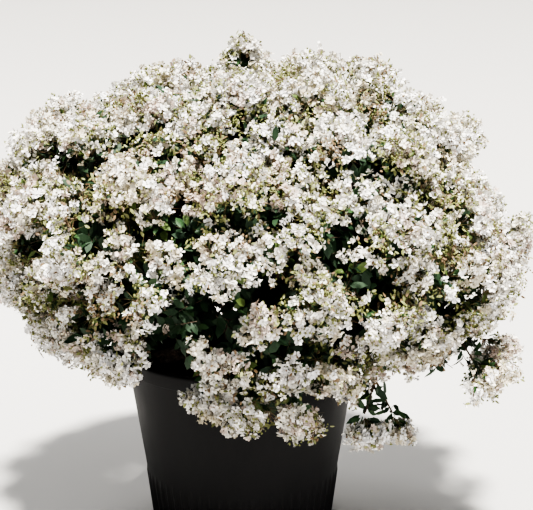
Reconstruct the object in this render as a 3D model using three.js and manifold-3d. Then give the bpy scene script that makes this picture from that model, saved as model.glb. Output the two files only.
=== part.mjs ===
// A dwarf crape myrtle in full white bloom, standing in a large round nursery pot.
// A short stem forks just above the soil into seven limbs. Side boughs leave the limbs, and
// each limb and bough ends in one mass of twigs, leaves and blossom heads. Together the masses
// make a broad dome with a ragged hem that hangs past the rim of the pot.
//
// Millimetres, +Z up. The origin is the centre of the pot's flat underside, and -Y is the front.

import * as THREE from "three";
import { mergeVertices } from "three/addons/utils/BufferGeometryUtils.js";
import Module from "manifold-3d";

const wasm = await Module();
wasm.setup();

// The clear space between two pieces that meet.
const clearance = 0.3;

const pot = {
  height: 510,
  sides: 40,
  baseRadius: 256,
  topRadius: 335,
  wall: 6,
  floor: 7,
  footBevel: 8,
  rimRadius: 347,
  rimDepth: 42,
  lipRound: 5,
};
const rib = { count: 60, foot: 8, top: 160, width: 17, stand: 8, root: 4 };
const soil = { level: 452, crownRadius: 110, edgeDrop: 10, bottomBevel: 4 };
const stool = { height: 118, flareRadius: 74, neckRadius: 50, knuckleRadius: 58, sides: 12, lean: 6 };

// The dome of blossom: its middle, half widths, rise above the middle and the hem below it.
const crown = { x: 35, y: 0, z: 850, halfWidth: 812, halfDepth: 770, rise: 532, drop: 370, tuck: 0.25 };
// Where the hem hangs lower or is drawn up, and where it stands further out: azimuth and spread in
// degrees, drop in millimetres, and flare as a share of the dome's width.
const hemLobes = [
  { azimuth: -84, spread: 24, drop: 70, flare: 0 },
  { azimuth: -44, spread: 16, drop: -35, flare: 0 },
  { azimuth: -25, spread: 11, drop: 90, flare: 0.2 },
  { azimuth: 5, spread: 18, drop: -190, flare: 0 },
  { azimuth: -112, spread: 9, drop: -200, flare: 0 },
  { azimuth: -150, spread: 14, drop: -55, flare: 0 },
  { azimuth: 62, spread: 26, drop: 60, flare: 0.05 },
  { azimuth: 118, spread: 18, drop: -50, flare: 0 },
];
// Where the dome swells or sinks: how far round and how far up each swell spreads, in degrees, and its share.
const swells = [
  { azimuth: -2, latitude: 21, across: 32, along: 12, share: -0.14 },
  { azimuth: 0, latitude: 54, across: 30, along: 9, share: -0.035 },
  { azimuth: 1, latitude: 66, across: 30, along: 8, share: 0.03 },
  { azimuth: 180, latitude: 60, across: 30, along: 12, share: -0.035 },
  { azimuth: 180, latitude: 41, across: 30, along: 9, share: 0.045 },
];

// The rings of masses, from the top down: how many, how high on the dome, and which way their stems point.
const tiers = [
  { name: "top", count: 1, latitude: 90, turn: 0, heart: 620 },
  { name: "upper", count: 6, latitude: 52, turn: -78, heart: 620 },
  { name: "shoulder", count: 10, latitude: 19, turn: -96, heart: 640 },
  { name: "skirt", count: 10, latitude: -48, turn: -84, heart: 800 },
];
// One spray hangs under the dome, low beside the pot.
const lowSpray = { azimuth: -38, radius: 500, z: 275, stemDrop: 260, stemReach: 60, stemLength: 70 };
const lowHeads = { turns: [80, 260], spread: 52 };

// The limbs and side boughs, and inside each mass its stem, twigs, blossom heads and leaves. A side bough
// leaves its limb at a share of the limb's length, each one higher than the last.
const limb = { footRadius: 15, tipRadius: 8, ring: 36, sides: 6, rings: 4, bend: 0.45 };
const bough = { footRadius: 10, tipRadius: 7, sides: 5, rings: 3, firstFork: 0.14, forkStep: 0.09 };
const stem = { length: 150, inset: 190, radius: 7, sides: 4 };
const twig = { footRadius: 3.2, tipRadius: 2.4, sunk: 26, aside: 16, firstFoot: 0.1, lastFoot: 0.95 };
const head = {
  spacing: 140,
  hemSpacing: 118,
  hemLatitude: -38,
  length: 122,
  radius: 96,
  gap: 2,
  sides: 6,
  tries: 9000,
  shareAbove: 0.58,
  lift: 0.25,
  droop: 0.35,
  turnOver: 240,
  relief: 0.03,
  seed: 11,
};
const leaf = { length: 122, width: 54, thick: 3, tries: 6, room: 90, below: 22, forward: 0.4, seed: 6 };
// The one sprig that stands above the rest.
const topSprig = { x: 5, y: -40, z: 1405 };
// Dark hollows between the clusters: where they lie on the dome, in degrees, and how wide they are.
const hollows = [
  { azimuth: -98, latitude: -7, radius: 85 },
  { azimuth: -73, latitude: 15, radius: 70 },
  { azimuth: -74, latitude: 0, radius: 65 },
  { azimuth: -99, latitude: 14, radius: 55 },
  { azimuth: -131, latitude: 31, radius: 60 },
  { azimuth: -120, latitude: 8, radius: 55 },
  { azimuth: -123, latitude: -28, radius: 60 },
  { azimuth: -34, latitude: -48, radius: 70 },
  { azimuth: -114, latitude: 17, radius: 45 },
  { azimuth: -75, latitude: -27, radius: 50 },
  { azimuth: -40, latitude: -10, radius: 50 },
  { azimuth: -4, latitude: 25, radius: 75 },
  { azimuth: 24, latitude: -12, radius: 75 },
  { azimuth: 58, latitude: 26, radius: 60 },
  { azimuth: 92, latitude: -4, radius: 85 },
  { azimuth: 120, latitude: 18, radius: 60 },
  { azimuth: 156, latitude: -20, radius: 70 },
  { azimuth: 172, latitude: 24, radius: 60 },
  { azimuth: 160, latitude: 50, radius: 70 },
];

const degrees = Math.PI / 180;
const up = new THREE.Vector3(0, 0, 1);

// A repeatable run of numbers from 0 to 1.
function seeded(seed) {
  let state = seed;
  return () => {
    state = (Math.imul(state, 1664525) + 1013904223) >>> 0;
    return state / 4294967296;
  };
}

// A closed solid from a geometry.
function solidOf(geometry) {
  const bare = geometry.clone();
  bare.deleteAttribute("normal");
  bare.deleteAttribute("uv");
  const merged = mergeVertices(bare, 1e-3);
  const corners = merged.index.array;
  const faces = [];
  for (let i = 0; i < corners.length; i += 3) {
    const [a, b, c] = [corners[i], corners[i + 1], corners[i + 2]];
    if (a !== b && b !== c && a !== c) faces.push(a, b, c);
  }
  return new wasm.Manifold(
    new wasm.Mesh({
      numProp: 3,
      vertProperties: merged.attributes.position.array,
      triVerts: new Uint32Array(faces),
    }),
  );
}

// The largest piece of a solid, as a geometry.
function geometryOf(solid) {
  const pieces = solid.decompose().sort((a, b) => b.volume() - a.volume());
  const mesh = pieces[0].getMesh();
  return new THREE.BufferGeometry()
    .setAttribute("position", new THREE.BufferAttribute(mesh.vertProperties, 3))
    .setIndex(new THREE.BufferAttribute(mesh.triVerts, 1));
}

function joined(solids) {
  return wasm.Manifold.union(solids);
}

const object = new THREE.Group();

function addPiece(name, geometry, material) {
  const mesh = new THREE.Mesh(geometry, material);
  mesh.name = name;
  object.add(mesh);
}

const potPlastic = new THREE.MeshStandardMaterial({ color: 0x17181a, roughness: 0.5, metalness: 0 });
const barkMix = new THREE.MeshStandardMaterial({ color: 0x2e231b, roughness: 1, metalness: 0 });
const bark = new THREE.MeshStandardMaterial({ color: 0x6b5544, roughness: 0.85, metalness: 0 });
const blossom = new THREE.MeshStandardMaterial({ color: 0xf2efe6, roughness: 0.7, metalness: 0 });

// The outside of the pot's wall at a height.
function potRadius(height) {
  return pot.baseRadius + ((pot.topRadius - pot.baseRadius) * height) / pot.height;
}

// A round solid about the Z axis from a half outline of radius and height pairs.
function turned(outline, sides) {
  const points = outline.map(([radius, height]) => new THREE.Vector2(radius, height));
  return new THREE.LatheGeometry(points, sides).rotateX(Math.PI / 2);
}

// The pot: a tapered shell with a flat foot and a deep straight rim.
function potShell() {
  const rimFoot = pot.height - pot.rimDepth;
  return turned(
    [
      [0, 0],
      [pot.baseRadius - pot.footBevel, 0],
      [potRadius(pot.footBevel), pot.footBevel],
      [potRadius(rib.top), rib.top],
      [potRadius(rimFoot), rimFoot],
      [pot.rimRadius - 2, rimFoot + 3],
      [pot.rimRadius, pot.height - pot.lipRound],
      [pot.rimRadius - pot.lipRound, pot.height],
      [pot.topRadius - pot.wall, pot.height - 2],
      [potRadius(rimFoot) - pot.wall, rimFoot],
      [potRadius(pot.floor) - pot.wall, pot.floor],
      [0, pot.floor],
    ],
    pot.sides,
  );
}

// One upright ridge on the pot's lower band: proud at the foot, and running out into the wall at its top.
function potRib(angle) {
  const half = rib.width / 2;
  const corner = (x, y) => new THREE.Vector2(x, y);
  const outline = new THREE.Shape([corner(-1, -half), corner(1, 0), corner(-1, half)]);
  const bar = new THREE.ExtrudeGeometry(outline, { depth: 1, bevelEnabled: false });
  const corners = bar.attributes.position;
  for (let i = 0; i < corners.count; i++) {
    const atTop = corners.getZ(i) > 0.5;
    const height = atTop ? rib.top : rib.foot;
    const stand = corners.getX(i) > 0 ? (atTop ? 1 : rib.stand) : -rib.root;
    corners.setXYZ(i, potRadius(height) + stand, corners.getY(i), height);
  }
  return bar.rotateZ(angle);
}

function addPot() {
  const shell = solidOf(potShell());
  const step = (2 * Math.PI) / rib.count;
  const ribs = Array.from({ length: rib.count }, (_, i) => solidOf(potRib((i + 0.5) * step)));
  addPiece("pot", geometryOf(joined([shell, ...ribs])), potPlastic);
}

// The filling of the pot: level round the stem and a little lower at the wall.
function addSoil() {
  const inside = (height) => potRadius(height) - pot.wall - clearance;
  const bottom = pot.floor + clearance;
  const edge = soil.level - soil.edgeDrop;
  const filling = turned(
    [
      [0, bottom],
      [inside(bottom) - soil.bottomBevel, bottom],
      [inside(bottom + soil.bottomBevel), bottom + soil.bottomBevel],
      [inside(edge), edge],
      [soil.crownRadius, soil.level],
      [0, soil.level],
    ],
    pot.sides / 2,
  );
  addPiece("soil", geometryOf(solidOf(filling)), barkMix);
}

// A round tapering limb along a curve that lies in one plane.
function limbAlong(curve, footRadius, tipRadius, sides, rings) {
  const bar = new THREE.CylinderGeometry(1, 1, 1, sides, rings);
  const across = planeNormal(curve);
  const corners = bar.attributes.position;
  for (let i = 0; i < corners.count; i++) {
    const along = corners.getY(i) + 0.5;
    const radius = footRadius + (tipRadius - footRadius) * along;
    const side = across.clone().cross(curve.getTangent(along));
    const point = curve
      .getPoint(along)
      .addScaledVector(across, corners.getX(i) * radius)
      .addScaledVector(side, corners.getZ(i) * radius);
    corners.setXYZ(i, point.x, point.y, point.z);
  }
  return solidOf(bar);
}

function planeNormal(curve) {
  const chord = curve.v2.clone().sub(curve.v0);
  const normal = curve.v1.clone().sub(curve.v0).cross(chord);
  return normal.lengthSq() > 1 ? normal.normalize() : chord.cross(up).normalize();
}

// How far one azimuth is from another, in degrees either way round.
function turnBetween(azimuth, other) {
  return ((((azimuth - other) % 360) + 540) % 360) - 180;
}

// What the lobes of the hem add to its drop or its flare at an azimuth in degrees.
function fromLobes(azimuth, value) {
  return hemLobes.reduce((sum, lobe) => {
    const away = turnBetween(azimuth, lobe.azimuth) / lobe.spread;
    return sum + lobe[value] * Math.exp(-(away ** 2));
  }, 0);
}

// How far out the dome stands, as a share, with its swells.
function swell(azimuth, latitude) {
  return swells.reduce((sum, each) => {
    const across = turnBetween(azimuth, each.azimuth) / each.across;
    const along = (latitude - each.latitude) / each.along;
    return sum + each.share * Math.exp(-(across ** 2) - along ** 2);
  }, 1);
}

// A point of the dome: latitude 90 is the top, 0 the widest ring and -90 the hem. Depth 1 is the outside.
function crownPoint(azimuth, latitude, depth = 1) {
  const rise = Math.sin(latitude * degrees);
  const tuck = crown.tuck - fromLobes(azimuth, "flare");
  const spread = latitude > 0 ? Math.cos(latitude * degrees) : 1 - tuck * rise * rise;
  const height = latitude > 0 ? crown.rise : crown.drop + fromLobes(azimuth, "drop");
  const out = depth * swell(azimuth, latitude);
  return new THREE.Vector3(
    crown.x + crown.halfWidth * spread * out * Math.cos(azimuth * degrees),
    crown.y + crown.halfDepth * spread * out * Math.sin(azimuth * degrees),
    crown.z + height * out * rise,
  );
}

// The way out of the dome at a point on it.
function outward(point) {
  const above = point.z > crown.z;
  return new THREE.Vector3(
    (point.x - crown.x) / crown.halfWidth ** 2,
    (point.y - crown.y) / crown.halfDepth ** 2,
    above ? (point.z - crown.z) / crown.rise ** 2 : (0.35 * (point.z - crown.z)) / crown.drop ** 2,
  ).normalize();
}

// The masses: where each one's middle lies, and the straight stem that carries it.
function layMasses() {
  const found = [];
  for (const tier of tiers) {
    for (let i = 0; i < tier.count; i++) {
      const azimuth = tier.turn + (i * 360) / tier.count;
      const middle = crownPoint(azimuth, tier.latitude);
      const heart = new THREE.Vector3(crown.x, crown.y, tier.heart);
      const way = middle.clone().sub(heart).normalize();
      const end = middle.clone().addScaledVector(way, -stem.inset);
      const start = end.clone().addScaledVector(way, -stem.length);
      const name = `${tier.name}_${i + 1}`;
      found.push({ tier: tier.name, name, azimuth, middle, way, start, end, shoots: [] });
    }
  }
  const ray = heading(lowSpray.azimuth);
  const middle = ray.clone().multiplyScalar(lowSpray.radius).setZ(lowSpray.z);
  const start = middle.clone().addScaledVector(up, lowSpray.stemDrop);
  start.addScaledVector(ray, -lowSpray.stemReach);
  const way = middle.clone().sub(start).normalize();
  const end = start.clone().addScaledVector(way, lowSpray.stemLength);
  found.push({ tier: "low", name: "low_1", azimuth: lowSpray.azimuth, middle, way, start, end, shoots: [] });
  return found;
}

// Blossom heads scattered evenly over the dome, apart from its hollows. Each goes to the nearest mass.
function scatterHeads(masses) {
  const random = seeded(head.seed);
  const pits = hollows.map((each) => ({ ...each, middle: crownPoint(each.azimuth, each.latitude) }));
  const found = [new THREE.Vector3(topSprig.x, topSprig.y, topSprig.z)];
  for (let i = 0; i < head.tries; i++) {
    const azimuth = 360 * random() - 180;
    const share = random();
    const above = share < head.shareAbove;
    const latitude = above
      ? Math.asin(share / head.shareAbove) / degrees
      : (-90 * (share - head.shareAbove)) / (1 - head.shareAbove);
    const point = crownPoint(azimuth, latitude, 1 - head.relief * random());
    if (pits.some((pit) => pit.middle.distanceTo(point) < pit.radius)) continue;
    const spacing = latitude < head.hemLatitude ? head.hemSpacing : head.spacing;
    if (found.every((other) => other.distanceTo(point) > spacing)) found.push(point);
  }
  const shoots = found.map((point) => shootAt(point, headWay(point)));
  const low = masses[masses.length - 1];
  for (const turn of lowHeads.turns) {
    const aside = heading(lowSpray.azimuth + turn).multiplyScalar(lowHeads.spread);
    shoots.push(shootAt(low.middle.clone().add(aside), low.way));
  }
  for (const shoot of shoots) {
    shoot.mass = masses.reduce((a, b) =>
      a.middle.distanceTo(shoot.point) < b.middle.distanceTo(shoot.point) ? a : b,
    );
    shoot.mass.shoots.push(shoot);
  }
  return shoots;
}

// A head by its tip and the way it points: its base and its middle.
function shootAt(point, way) {
  const base = point.clone().addScaledVector(way, -head.length);
  return { point, way, base, middle: base.clone().lerp(point, 0.55) };
}

// The way a head points: out of the dome, turned up a little above its middle and drooping below.
function headWay(point) {
  const share = THREE.MathUtils.clamp((point.z - crown.z) / head.turnOver, -1, 1);
  const rise = share * (share > 0 ? head.lift : head.droop);
  return outward(point).addScaledVector(up, rise).normalize();
}

function heading(azimuth) {
  return new THREE.Vector3(Math.cos(azimuth * degrees), Math.sin(azimuth * degrees), 0);
}

function curveTo(foot, mass) {
  const tip = mass.start.clone().addScaledVector(mass.way, -clearance);
  const bend = tip.clone().addScaledVector(mass.way, -limb.bend * tip.distanceTo(foot));
  return new THREE.QuadraticBezierCurve3(foot, bend, tip);
}

const masses = layMasses();
const allShoots = scatterHeads(masses);

// What twigs and leaves have to keep clear of, apart from heads: a line, how thick it is, and whose it is.
const taken = [];

function take(owner, from, to, radius) {
  taken.push({ owner, line: new THREE.Line3(from, to), radius });
}

function takeCurve(curve, footRadius, steps) {
  const points = curve.getPoints(steps);
  for (let i = 0; i < steps; i++) take(null, points[i], points[i + 1], footRadius);
}

// Whether a rod between two points keeps clear of all that belongs to others, heads among them. A head fills
// no more than the space that is nearer to its own middle than to any other. The rod may taper to both ends.
function isClear(owner, from, to, radius, tapers) {
  const rod = new THREE.Line3(from, to);
  const apart = taken.every((other) => {
    const room = radius + other.radius + 1;
    return other.owner === owner || rod.distanceSqToLine3(other.line) > room * room;
  });
  if (!apart) return false;
  const point = new THREE.Vector3();
  for (let share = 0; share <= 1; share += 1 / 12) {
    rod.at(share, point);
    const half = tapers ? radius * (1 - Math.abs(2 * share - 1)) : radius;
    const nearestOf = (own) => {
      const kept = allShoots.filter((shoot) => (shoot.mass === owner) === own);
      return Math.min(...kept.map((shoot) => shoot.middle.distanceTo(point)));
    };
    const nearestOther = nearestOf(false);
    if (nearestOther > head.radius + half + 10) continue;
    if (nearestOther - nearestOf(true) < 2 * (half + 1)) return false;
  }
  return true;
}

// The short stem at the soil: it flares at its foot, leans a little and swells where it forks.
function stoolSolid(grown) {
  const body = turned(
    [
      [0, 0],
      [stool.flareRadius + grown, 0],
      [stool.neckRadius + 6 + grown, stool.height * 0.2],
      [stool.neckRadius + grown, stool.height * 0.55],
      [stool.knuckleRadius + grown, stool.height * 0.85],
      [stool.knuckleRadius - 8 + grown, stool.height + grown],
      [0, stool.height + grown],
    ],
    stool.sides,
  );
  const corners = body.attributes.position;
  for (let i = 0; i < corners.count; i++) {
    const angle = Math.atan2(corners.getY(i), corners.getX(i));
    const share = corners.getZ(i) / stool.height;
    const swell = 1 + (1 - share) * 0.12 * Math.cos(4 * angle);
    corners.setX(i, corners.getX(i) * swell + stool.lean * share);
    corners.setY(i, corners.getY(i) * swell);
  }
  return solidOf(body.translate(0, 0, soil.level + clearance));
}

function addTrunk() {
  addPiece("trunk", geometryOf(stoolSolid(0)), bark);
  const top = soil.level + stool.height;
  take(null, new THREE.Vector3(0, 0, soil.level), new THREE.Vector3(stool.lean, 0, top), stool.knuckleRadius);
}

// The limbs stand on the stem's top in a ring, with one in the middle, and run to the topmost masses.
function addLimbs() {
  const foot = soil.level + stool.height - limb.footRadius;
  const stoolGrown = stoolSolid(clearance);
  const limbs = [];
  for (const mass of masses.filter((each) => each.tier === "top" || each.tier === "upper")) {
    const ring = mass.tier === "top" ? 0 : limb.ring;
    const start = heading(mass.azimuth).multiplyScalar(ring).setZ(foot);
    start.x += stool.lean;
    const curve = curveTo(start, mass);
    const solid = limbAlong(curve, limb.footRadius, limb.tipRadius, limb.sides, limb.rings);
    const grown = limbAlong(curve, limb.footRadius + 0.5, limb.tipRadius + 0.5, limb.sides, limb.rings);
    addPiece(`limb_${limbs.length + 1}`, geometryOf(solid.subtract(stoolGrown)), bark);
    takeCurve(curve, limb.footRadius, limb.rings);
    limbs.push({ mass, curve, grown, forks: 0 });
  }
  return limbs;
}

// The side boughs leave the nearest limb, the low ones first, and run out to the shoulder and the hem.
function addBoughs(limbs) {
  const outer = limbs.filter((each) => each.mass.tier === "upper");
  const turnBetween = (a, b) => Math.abs(((((a - b) % 360) + 540) % 360) - 180);
  const lowFirst = masses.filter((each) => each.tier === "low" || each.tier === "skirt");
  for (const mass of [...lowFirst.reverse(), ...masses.filter((each) => each.tier === "shoulder")]) {
    const parent = outer.reduce((a, b) =>
      turnBetween(a.mass.azimuth, mass.azimuth) <= turnBetween(b.mass.azimuth, mass.azimuth) ? a : b,
    );
    const along = bough.firstFork + parent.forks * bough.forkStep;
    parent.forks += 1;
    const curve = curveTo(parent.curve.getPoint(along), mass);
    const solid = limbAlong(curve, bough.footRadius, bough.tipRadius, bough.sides, bough.rings);
    addPiece(`bough_${mass.name}`, geometryOf(solid.subtract(parent.grown)), bark);
    takeCurve(curve, bough.footRadius, bough.rings);
  }
}

// Draws a point of a head back towards the head's middle, so that it stays short of halfway to other heads.
function keepApart(shoot, point) {
  const reach = point.clone().sub(shoot.middle);
  let share = 1;
  for (const other of allShoots) {
    const between = other.middle.clone().sub(shoot.middle);
    const room = between.length() / 2 - head.gap;
    if (other === shoot || room > 2 * head.radius) continue;
    const along = reach.dot(between.normalize());
    if (along > room) share = Math.min(share, room / along);
  }
  return shoot.middle.clone().addScaledVector(reach, share);
}

// One blossom head: a crumpled dome, narrow at its base, that fills the room between its neighbours.
function headSolid(shoot, random) {
  const outline = [
    [0, 0],
    [0.55, 0.2],
    [1, 0.64],
    [0, 1],
  ];
  const shape = turned(outline, head.sides);
  const merged = mergeVertices(shape.deleteAttribute("normal").deleteAttribute("uv"), 1e-3);
  const turn = new THREE.Quaternion().setFromUnitVectors(up, shoot.way);
  const corners = merged.attributes.position;
  for (let i = 0; i < corners.count; i++) {
    const puff = head.radius * (0.8 + 0.2 * random());
    const corner = new THREE.Vector3().fromBufferAttribute(corners, i);
    corner.multiply(new THREE.Vector3(puff, puff, head.length)).applyQuaternion(turn).add(shoot.base);
    const point = keepApart(shoot, corner);
    corners.setXYZ(i, point.x, point.y, point.z);
  }
  return solidOf(merged);
}

// One leaf: a thin pointed blade from its root, with its flat face towards the outside of the dome.
function leafSolid(root, way, side) {
  const blade = new THREE.OctahedronGeometry(1).scale(leaf.width / 2, leaf.thick / 2, leaf.length / 2);
  blade.translate(0, 0, leaf.length / 2);
  const across = new THREE.Vector3().crossVectors(way, side).normalize();
  const face = new THREE.Vector3().crossVectors(way, across);
  return solidOf(blade.applyMatrix4(new THREE.Matrix4().makeBasis(across, face, way).setPosition(root)));
}

function twigSolid(foot, tip) {
  const way = tip.clone().sub(foot);
  const bar = new THREE.CylinderGeometry(twig.tipRadius, twig.footRadius, way.length(), 3, 1);
  bar.translate(0, way.length() / 2, 0).rotateX(Math.PI / 2);
  const turn = new THREE.Quaternion().setFromUnitVectors(up, way.normalize());
  return solidOf(bar.applyQuaternion(turn).translate(foot.x, foot.y, foot.z));
}

// Lays the twigs from a mass's stem to its heads, the furthest from the stem's foot, and each to one side of
// the head's middle. A head whose twig finds no clear way is left out.
function layTwigs(mass) {
  const core = new THREE.Line3(mass.start, mass.end);
  const nearest = new THREE.Vector3();
  const away = (shoot) => core.closestPointToPoint(shoot.base, false, nearest).distanceTo(shoot.base);
  mass.shoots.sort((a, b) => away(b) - away(a));
  mass.shoots = mass.shoots.filter((shoot, rank) => {
    const share = twig.firstFoot + ((twig.lastFoot - twig.firstFoot) * (rank + 0.5)) / mass.shoots.length;
    shoot.foot = core.at(share, new THREE.Vector3());
    const side = new THREE.Vector3().crossVectors(shoot.way, mass.way).normalize();
    shoot.entry = shoot.base.clone().addScaledVector(shoot.way, twig.sunk).addScaledVector(side, twig.aside);
    const open = isClear(mass, shoot.foot, shoot.entry, twig.footRadius, false);
    if (open) take(mass, shoot.foot, shoot.entry, twig.footRadius);
    return open;
  });
}

// The leaves of a mass. Each springs from a twig just under its head and spreads to where there is most room
// between the heads around it. It is left out where there is little room, or it would touch another mass.
function layLeaves(mass, random) {
  const leaves = [];
  for (const shoot of mass.shoots) {
    const back = shoot.foot.clone().sub(shoot.entry).normalize();
    const root = shoot.entry.clone().addScaledVector(back, twig.sunk + leaf.below * (1 + random()));
    const blades = [];
    for (let i = 0; i < leaf.tries; i++) {
      const toss = new THREE.Vector3(random() - 0.5, random() - 0.5, random() - 0.5);
      const side = toss.cross(shoot.way).normalize();
      const way = shoot.way.clone().multiplyScalar(leaf.forward).add(side).normalize();
      const tip = root.clone().addScaledVector(way, leaf.length);
      const room = Math.min(...allShoots.map((each) => each.middle.distanceTo(tip)));
      if (isClear(mass, root, tip, leaf.width / 2, true)) blades.push({ side, way, tip, room });
    }
    const { side, way, tip, room } = blades.reduce((a, b) => (a.room > b.room ? a : b), { room: 0 });
    if (room < leaf.room) continue;
    leaves.push(leafSolid(root, way, side));
    take(mass, root, tip, leaf.width / 2);
  }
  return leaves;
}

// One mass: its stem, a twig to each head, the heads, and the leaves below them.
function addMass(mass, random) {
  const line = new THREE.QuadraticBezierCurve3(mass.start, mass.start.clone().lerp(mass.end, 0.5), mass.end);
  const solids = [limbAlong(line, stem.radius, stem.radius, stem.sides, 1)];
  for (const shoot of mass.shoots) {
    solids.push(twigSolid(shoot.foot, shoot.entry));
    solids.push(headSolid(shoot, random));
  }
  solids.push(...layLeaves(mass, random));
  addPiece(`mass_${mass.name}`, geometryOf(joined(solids)), blossom);
}

addPot();
addSoil();
addTrunk();
addBoughs(addLimbs());
for (const mass of masses) take(mass, mass.start, mass.end, stem.radius);
masses.forEach(layTwigs);
const random = seeded(leaf.seed);
for (const mass of masses) addMass(mass, random);

export default object;
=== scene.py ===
"""A dwarf crape myrtle in full white bloom in a large round nursery pot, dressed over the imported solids."""

import math
from collections import namedtuple

import bmesh
import bpy
import numpy as np
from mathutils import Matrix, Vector, noise
from numpy.linalg import norm


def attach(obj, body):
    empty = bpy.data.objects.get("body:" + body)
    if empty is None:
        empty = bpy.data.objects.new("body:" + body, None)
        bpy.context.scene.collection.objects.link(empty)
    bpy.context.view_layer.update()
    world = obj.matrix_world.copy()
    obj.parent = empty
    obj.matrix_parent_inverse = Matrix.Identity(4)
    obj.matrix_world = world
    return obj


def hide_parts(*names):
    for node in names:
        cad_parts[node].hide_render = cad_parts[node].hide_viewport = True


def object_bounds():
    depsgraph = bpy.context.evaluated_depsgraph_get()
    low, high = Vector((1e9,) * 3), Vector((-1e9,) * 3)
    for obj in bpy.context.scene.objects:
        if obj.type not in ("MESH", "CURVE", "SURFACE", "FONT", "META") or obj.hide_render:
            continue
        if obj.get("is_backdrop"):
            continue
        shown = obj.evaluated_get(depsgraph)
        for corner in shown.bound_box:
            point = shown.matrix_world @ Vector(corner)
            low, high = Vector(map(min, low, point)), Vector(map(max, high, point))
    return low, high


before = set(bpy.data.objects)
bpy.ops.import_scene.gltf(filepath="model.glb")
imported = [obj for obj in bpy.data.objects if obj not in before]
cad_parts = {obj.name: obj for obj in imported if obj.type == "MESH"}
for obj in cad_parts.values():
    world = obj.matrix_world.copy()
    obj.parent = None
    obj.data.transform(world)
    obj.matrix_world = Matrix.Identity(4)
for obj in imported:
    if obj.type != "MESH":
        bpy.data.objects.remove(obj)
packed_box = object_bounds()

# The camera stands in front of the pot and a little above the crown's middle, and looks slightly down.
CAMERA_PLACE = (0.071, -3.3, 1.45)
CAMERA_PITCH = 11.54
CAMERA_LENS = 79.7

bpy.ops.object.camera_add(location=CAMERA_PLACE, rotation=(math.radians(90 - CAMERA_PITCH), 0, 0))
camera = bpy.context.object
camera.name = "garden_view"
camera.data.lens = CAMERA_LENS
camera.data.sensor_width = 36
bpy.context.scene.camera = camera

# The pot, in metres, as its solid has it.
POT_HEIGHT = 0.510
POT_FOOT_RADIUS = 0.256
POT_TOP_RADIUS = 0.335
POT_WALL = 0.006
POT_FLOOR = 0.007
POT_COLUMNS = 480
RIDGES = 60
RIDGE_RINGS = (0.008, 0.012, 0.020, 0.045, 0.070, 0.095, 0.120, 0.140, 0.152)
RIDGE_TOP = 0.160
RIDGE_STAND = 0.0078
RIM_RADIUS = 0.347
RIM_FOOT = 0.468

# The filling and the short stem that stands on it.
FILL_LEVEL = 0.452
FILL_FLAT_RADIUS = 0.110
FILL_EDGE_DROP = 0.010
FILL_EDGE_LEVEL = 0.441
CHIPS = 1500
STOOL_HEIGHT = 0.118
STOOL_LEAN = 0.006

# The dome of blossom: its middle, half widths, rise above the middle and hem below it.
DOME_MIDDLE = np.array([0.035, 0.0, 0.850])
DOME_HALF_WIDTH = 0.812
DOME_HALF_DEPTH = 0.770
DOME_RISE = 0.532
DOME_DROP = 0.370
DOME_TUCK = 0.25
# Where the hem hangs lower or is drawn up, and where it stands further out: azimuth and spread in degrees,
# drop in metres, and flare as a share of the dome's width.
HEM_LOBES = (
    (-84, 24, 0.070, 0),
    (-44, 16, -0.035, 0),
    (-25, 11, 0.090, 0.20),
    (5, 18, -0.190, 0),
    (-112, 9, -0.200, 0),
    (-150, 14, -0.055, 0),
    (62, 26, 0.060, 0.05),
    (118, 18, -0.050, 0),
)
# Where the dome swells or sinks: azimuth and latitude, spread round and up, and the share it goes out.
SWELLS = (
    (-2, 21, 32, 12, -0.140),
    (0, 54, 30, 9, -0.035),
    (1, 66, 30, 8, 0.030),
    (180, 60, 30, 12, -0.035),
    (180, 41, 30, 9, 0.045),
)
# The rings of masses from the top down: name, count, latitude, turn, and the height their stems point from.
TIERS = (
    ("top", 1, 90, 0, 0.620),
    ("upper", 6, 52, -78, 0.620),
    ("shoulder", 10, 19, -96, 0.640),
    ("skirt", 10, -48, -84, 0.800),
)
# Dark hollows between the clusters: azimuth and latitude in degrees, and radius in metres.
HOLLOWS = (
    (-98, -7, 0.085), (-73, 15, 0.070), (-74, 0, 0.065), (-99, 14, 0.055), (-131, 31, 0.060),
    (-120, 8, 0.055), (-123, -28, 0.060), (-34, -48, 0.070), (-114, 17, 0.045), (-75, -27, 0.050),
    (-40, -10, 0.050), (-4, 25, 0.075), (24, -12, 0.075), (58, 26, 0.060), (92, -4, 0.085),
    (120, 18, 0.060), (156, -20, 0.070), (172, 24, 0.060), (160, 50, 0.070),
)
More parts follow.
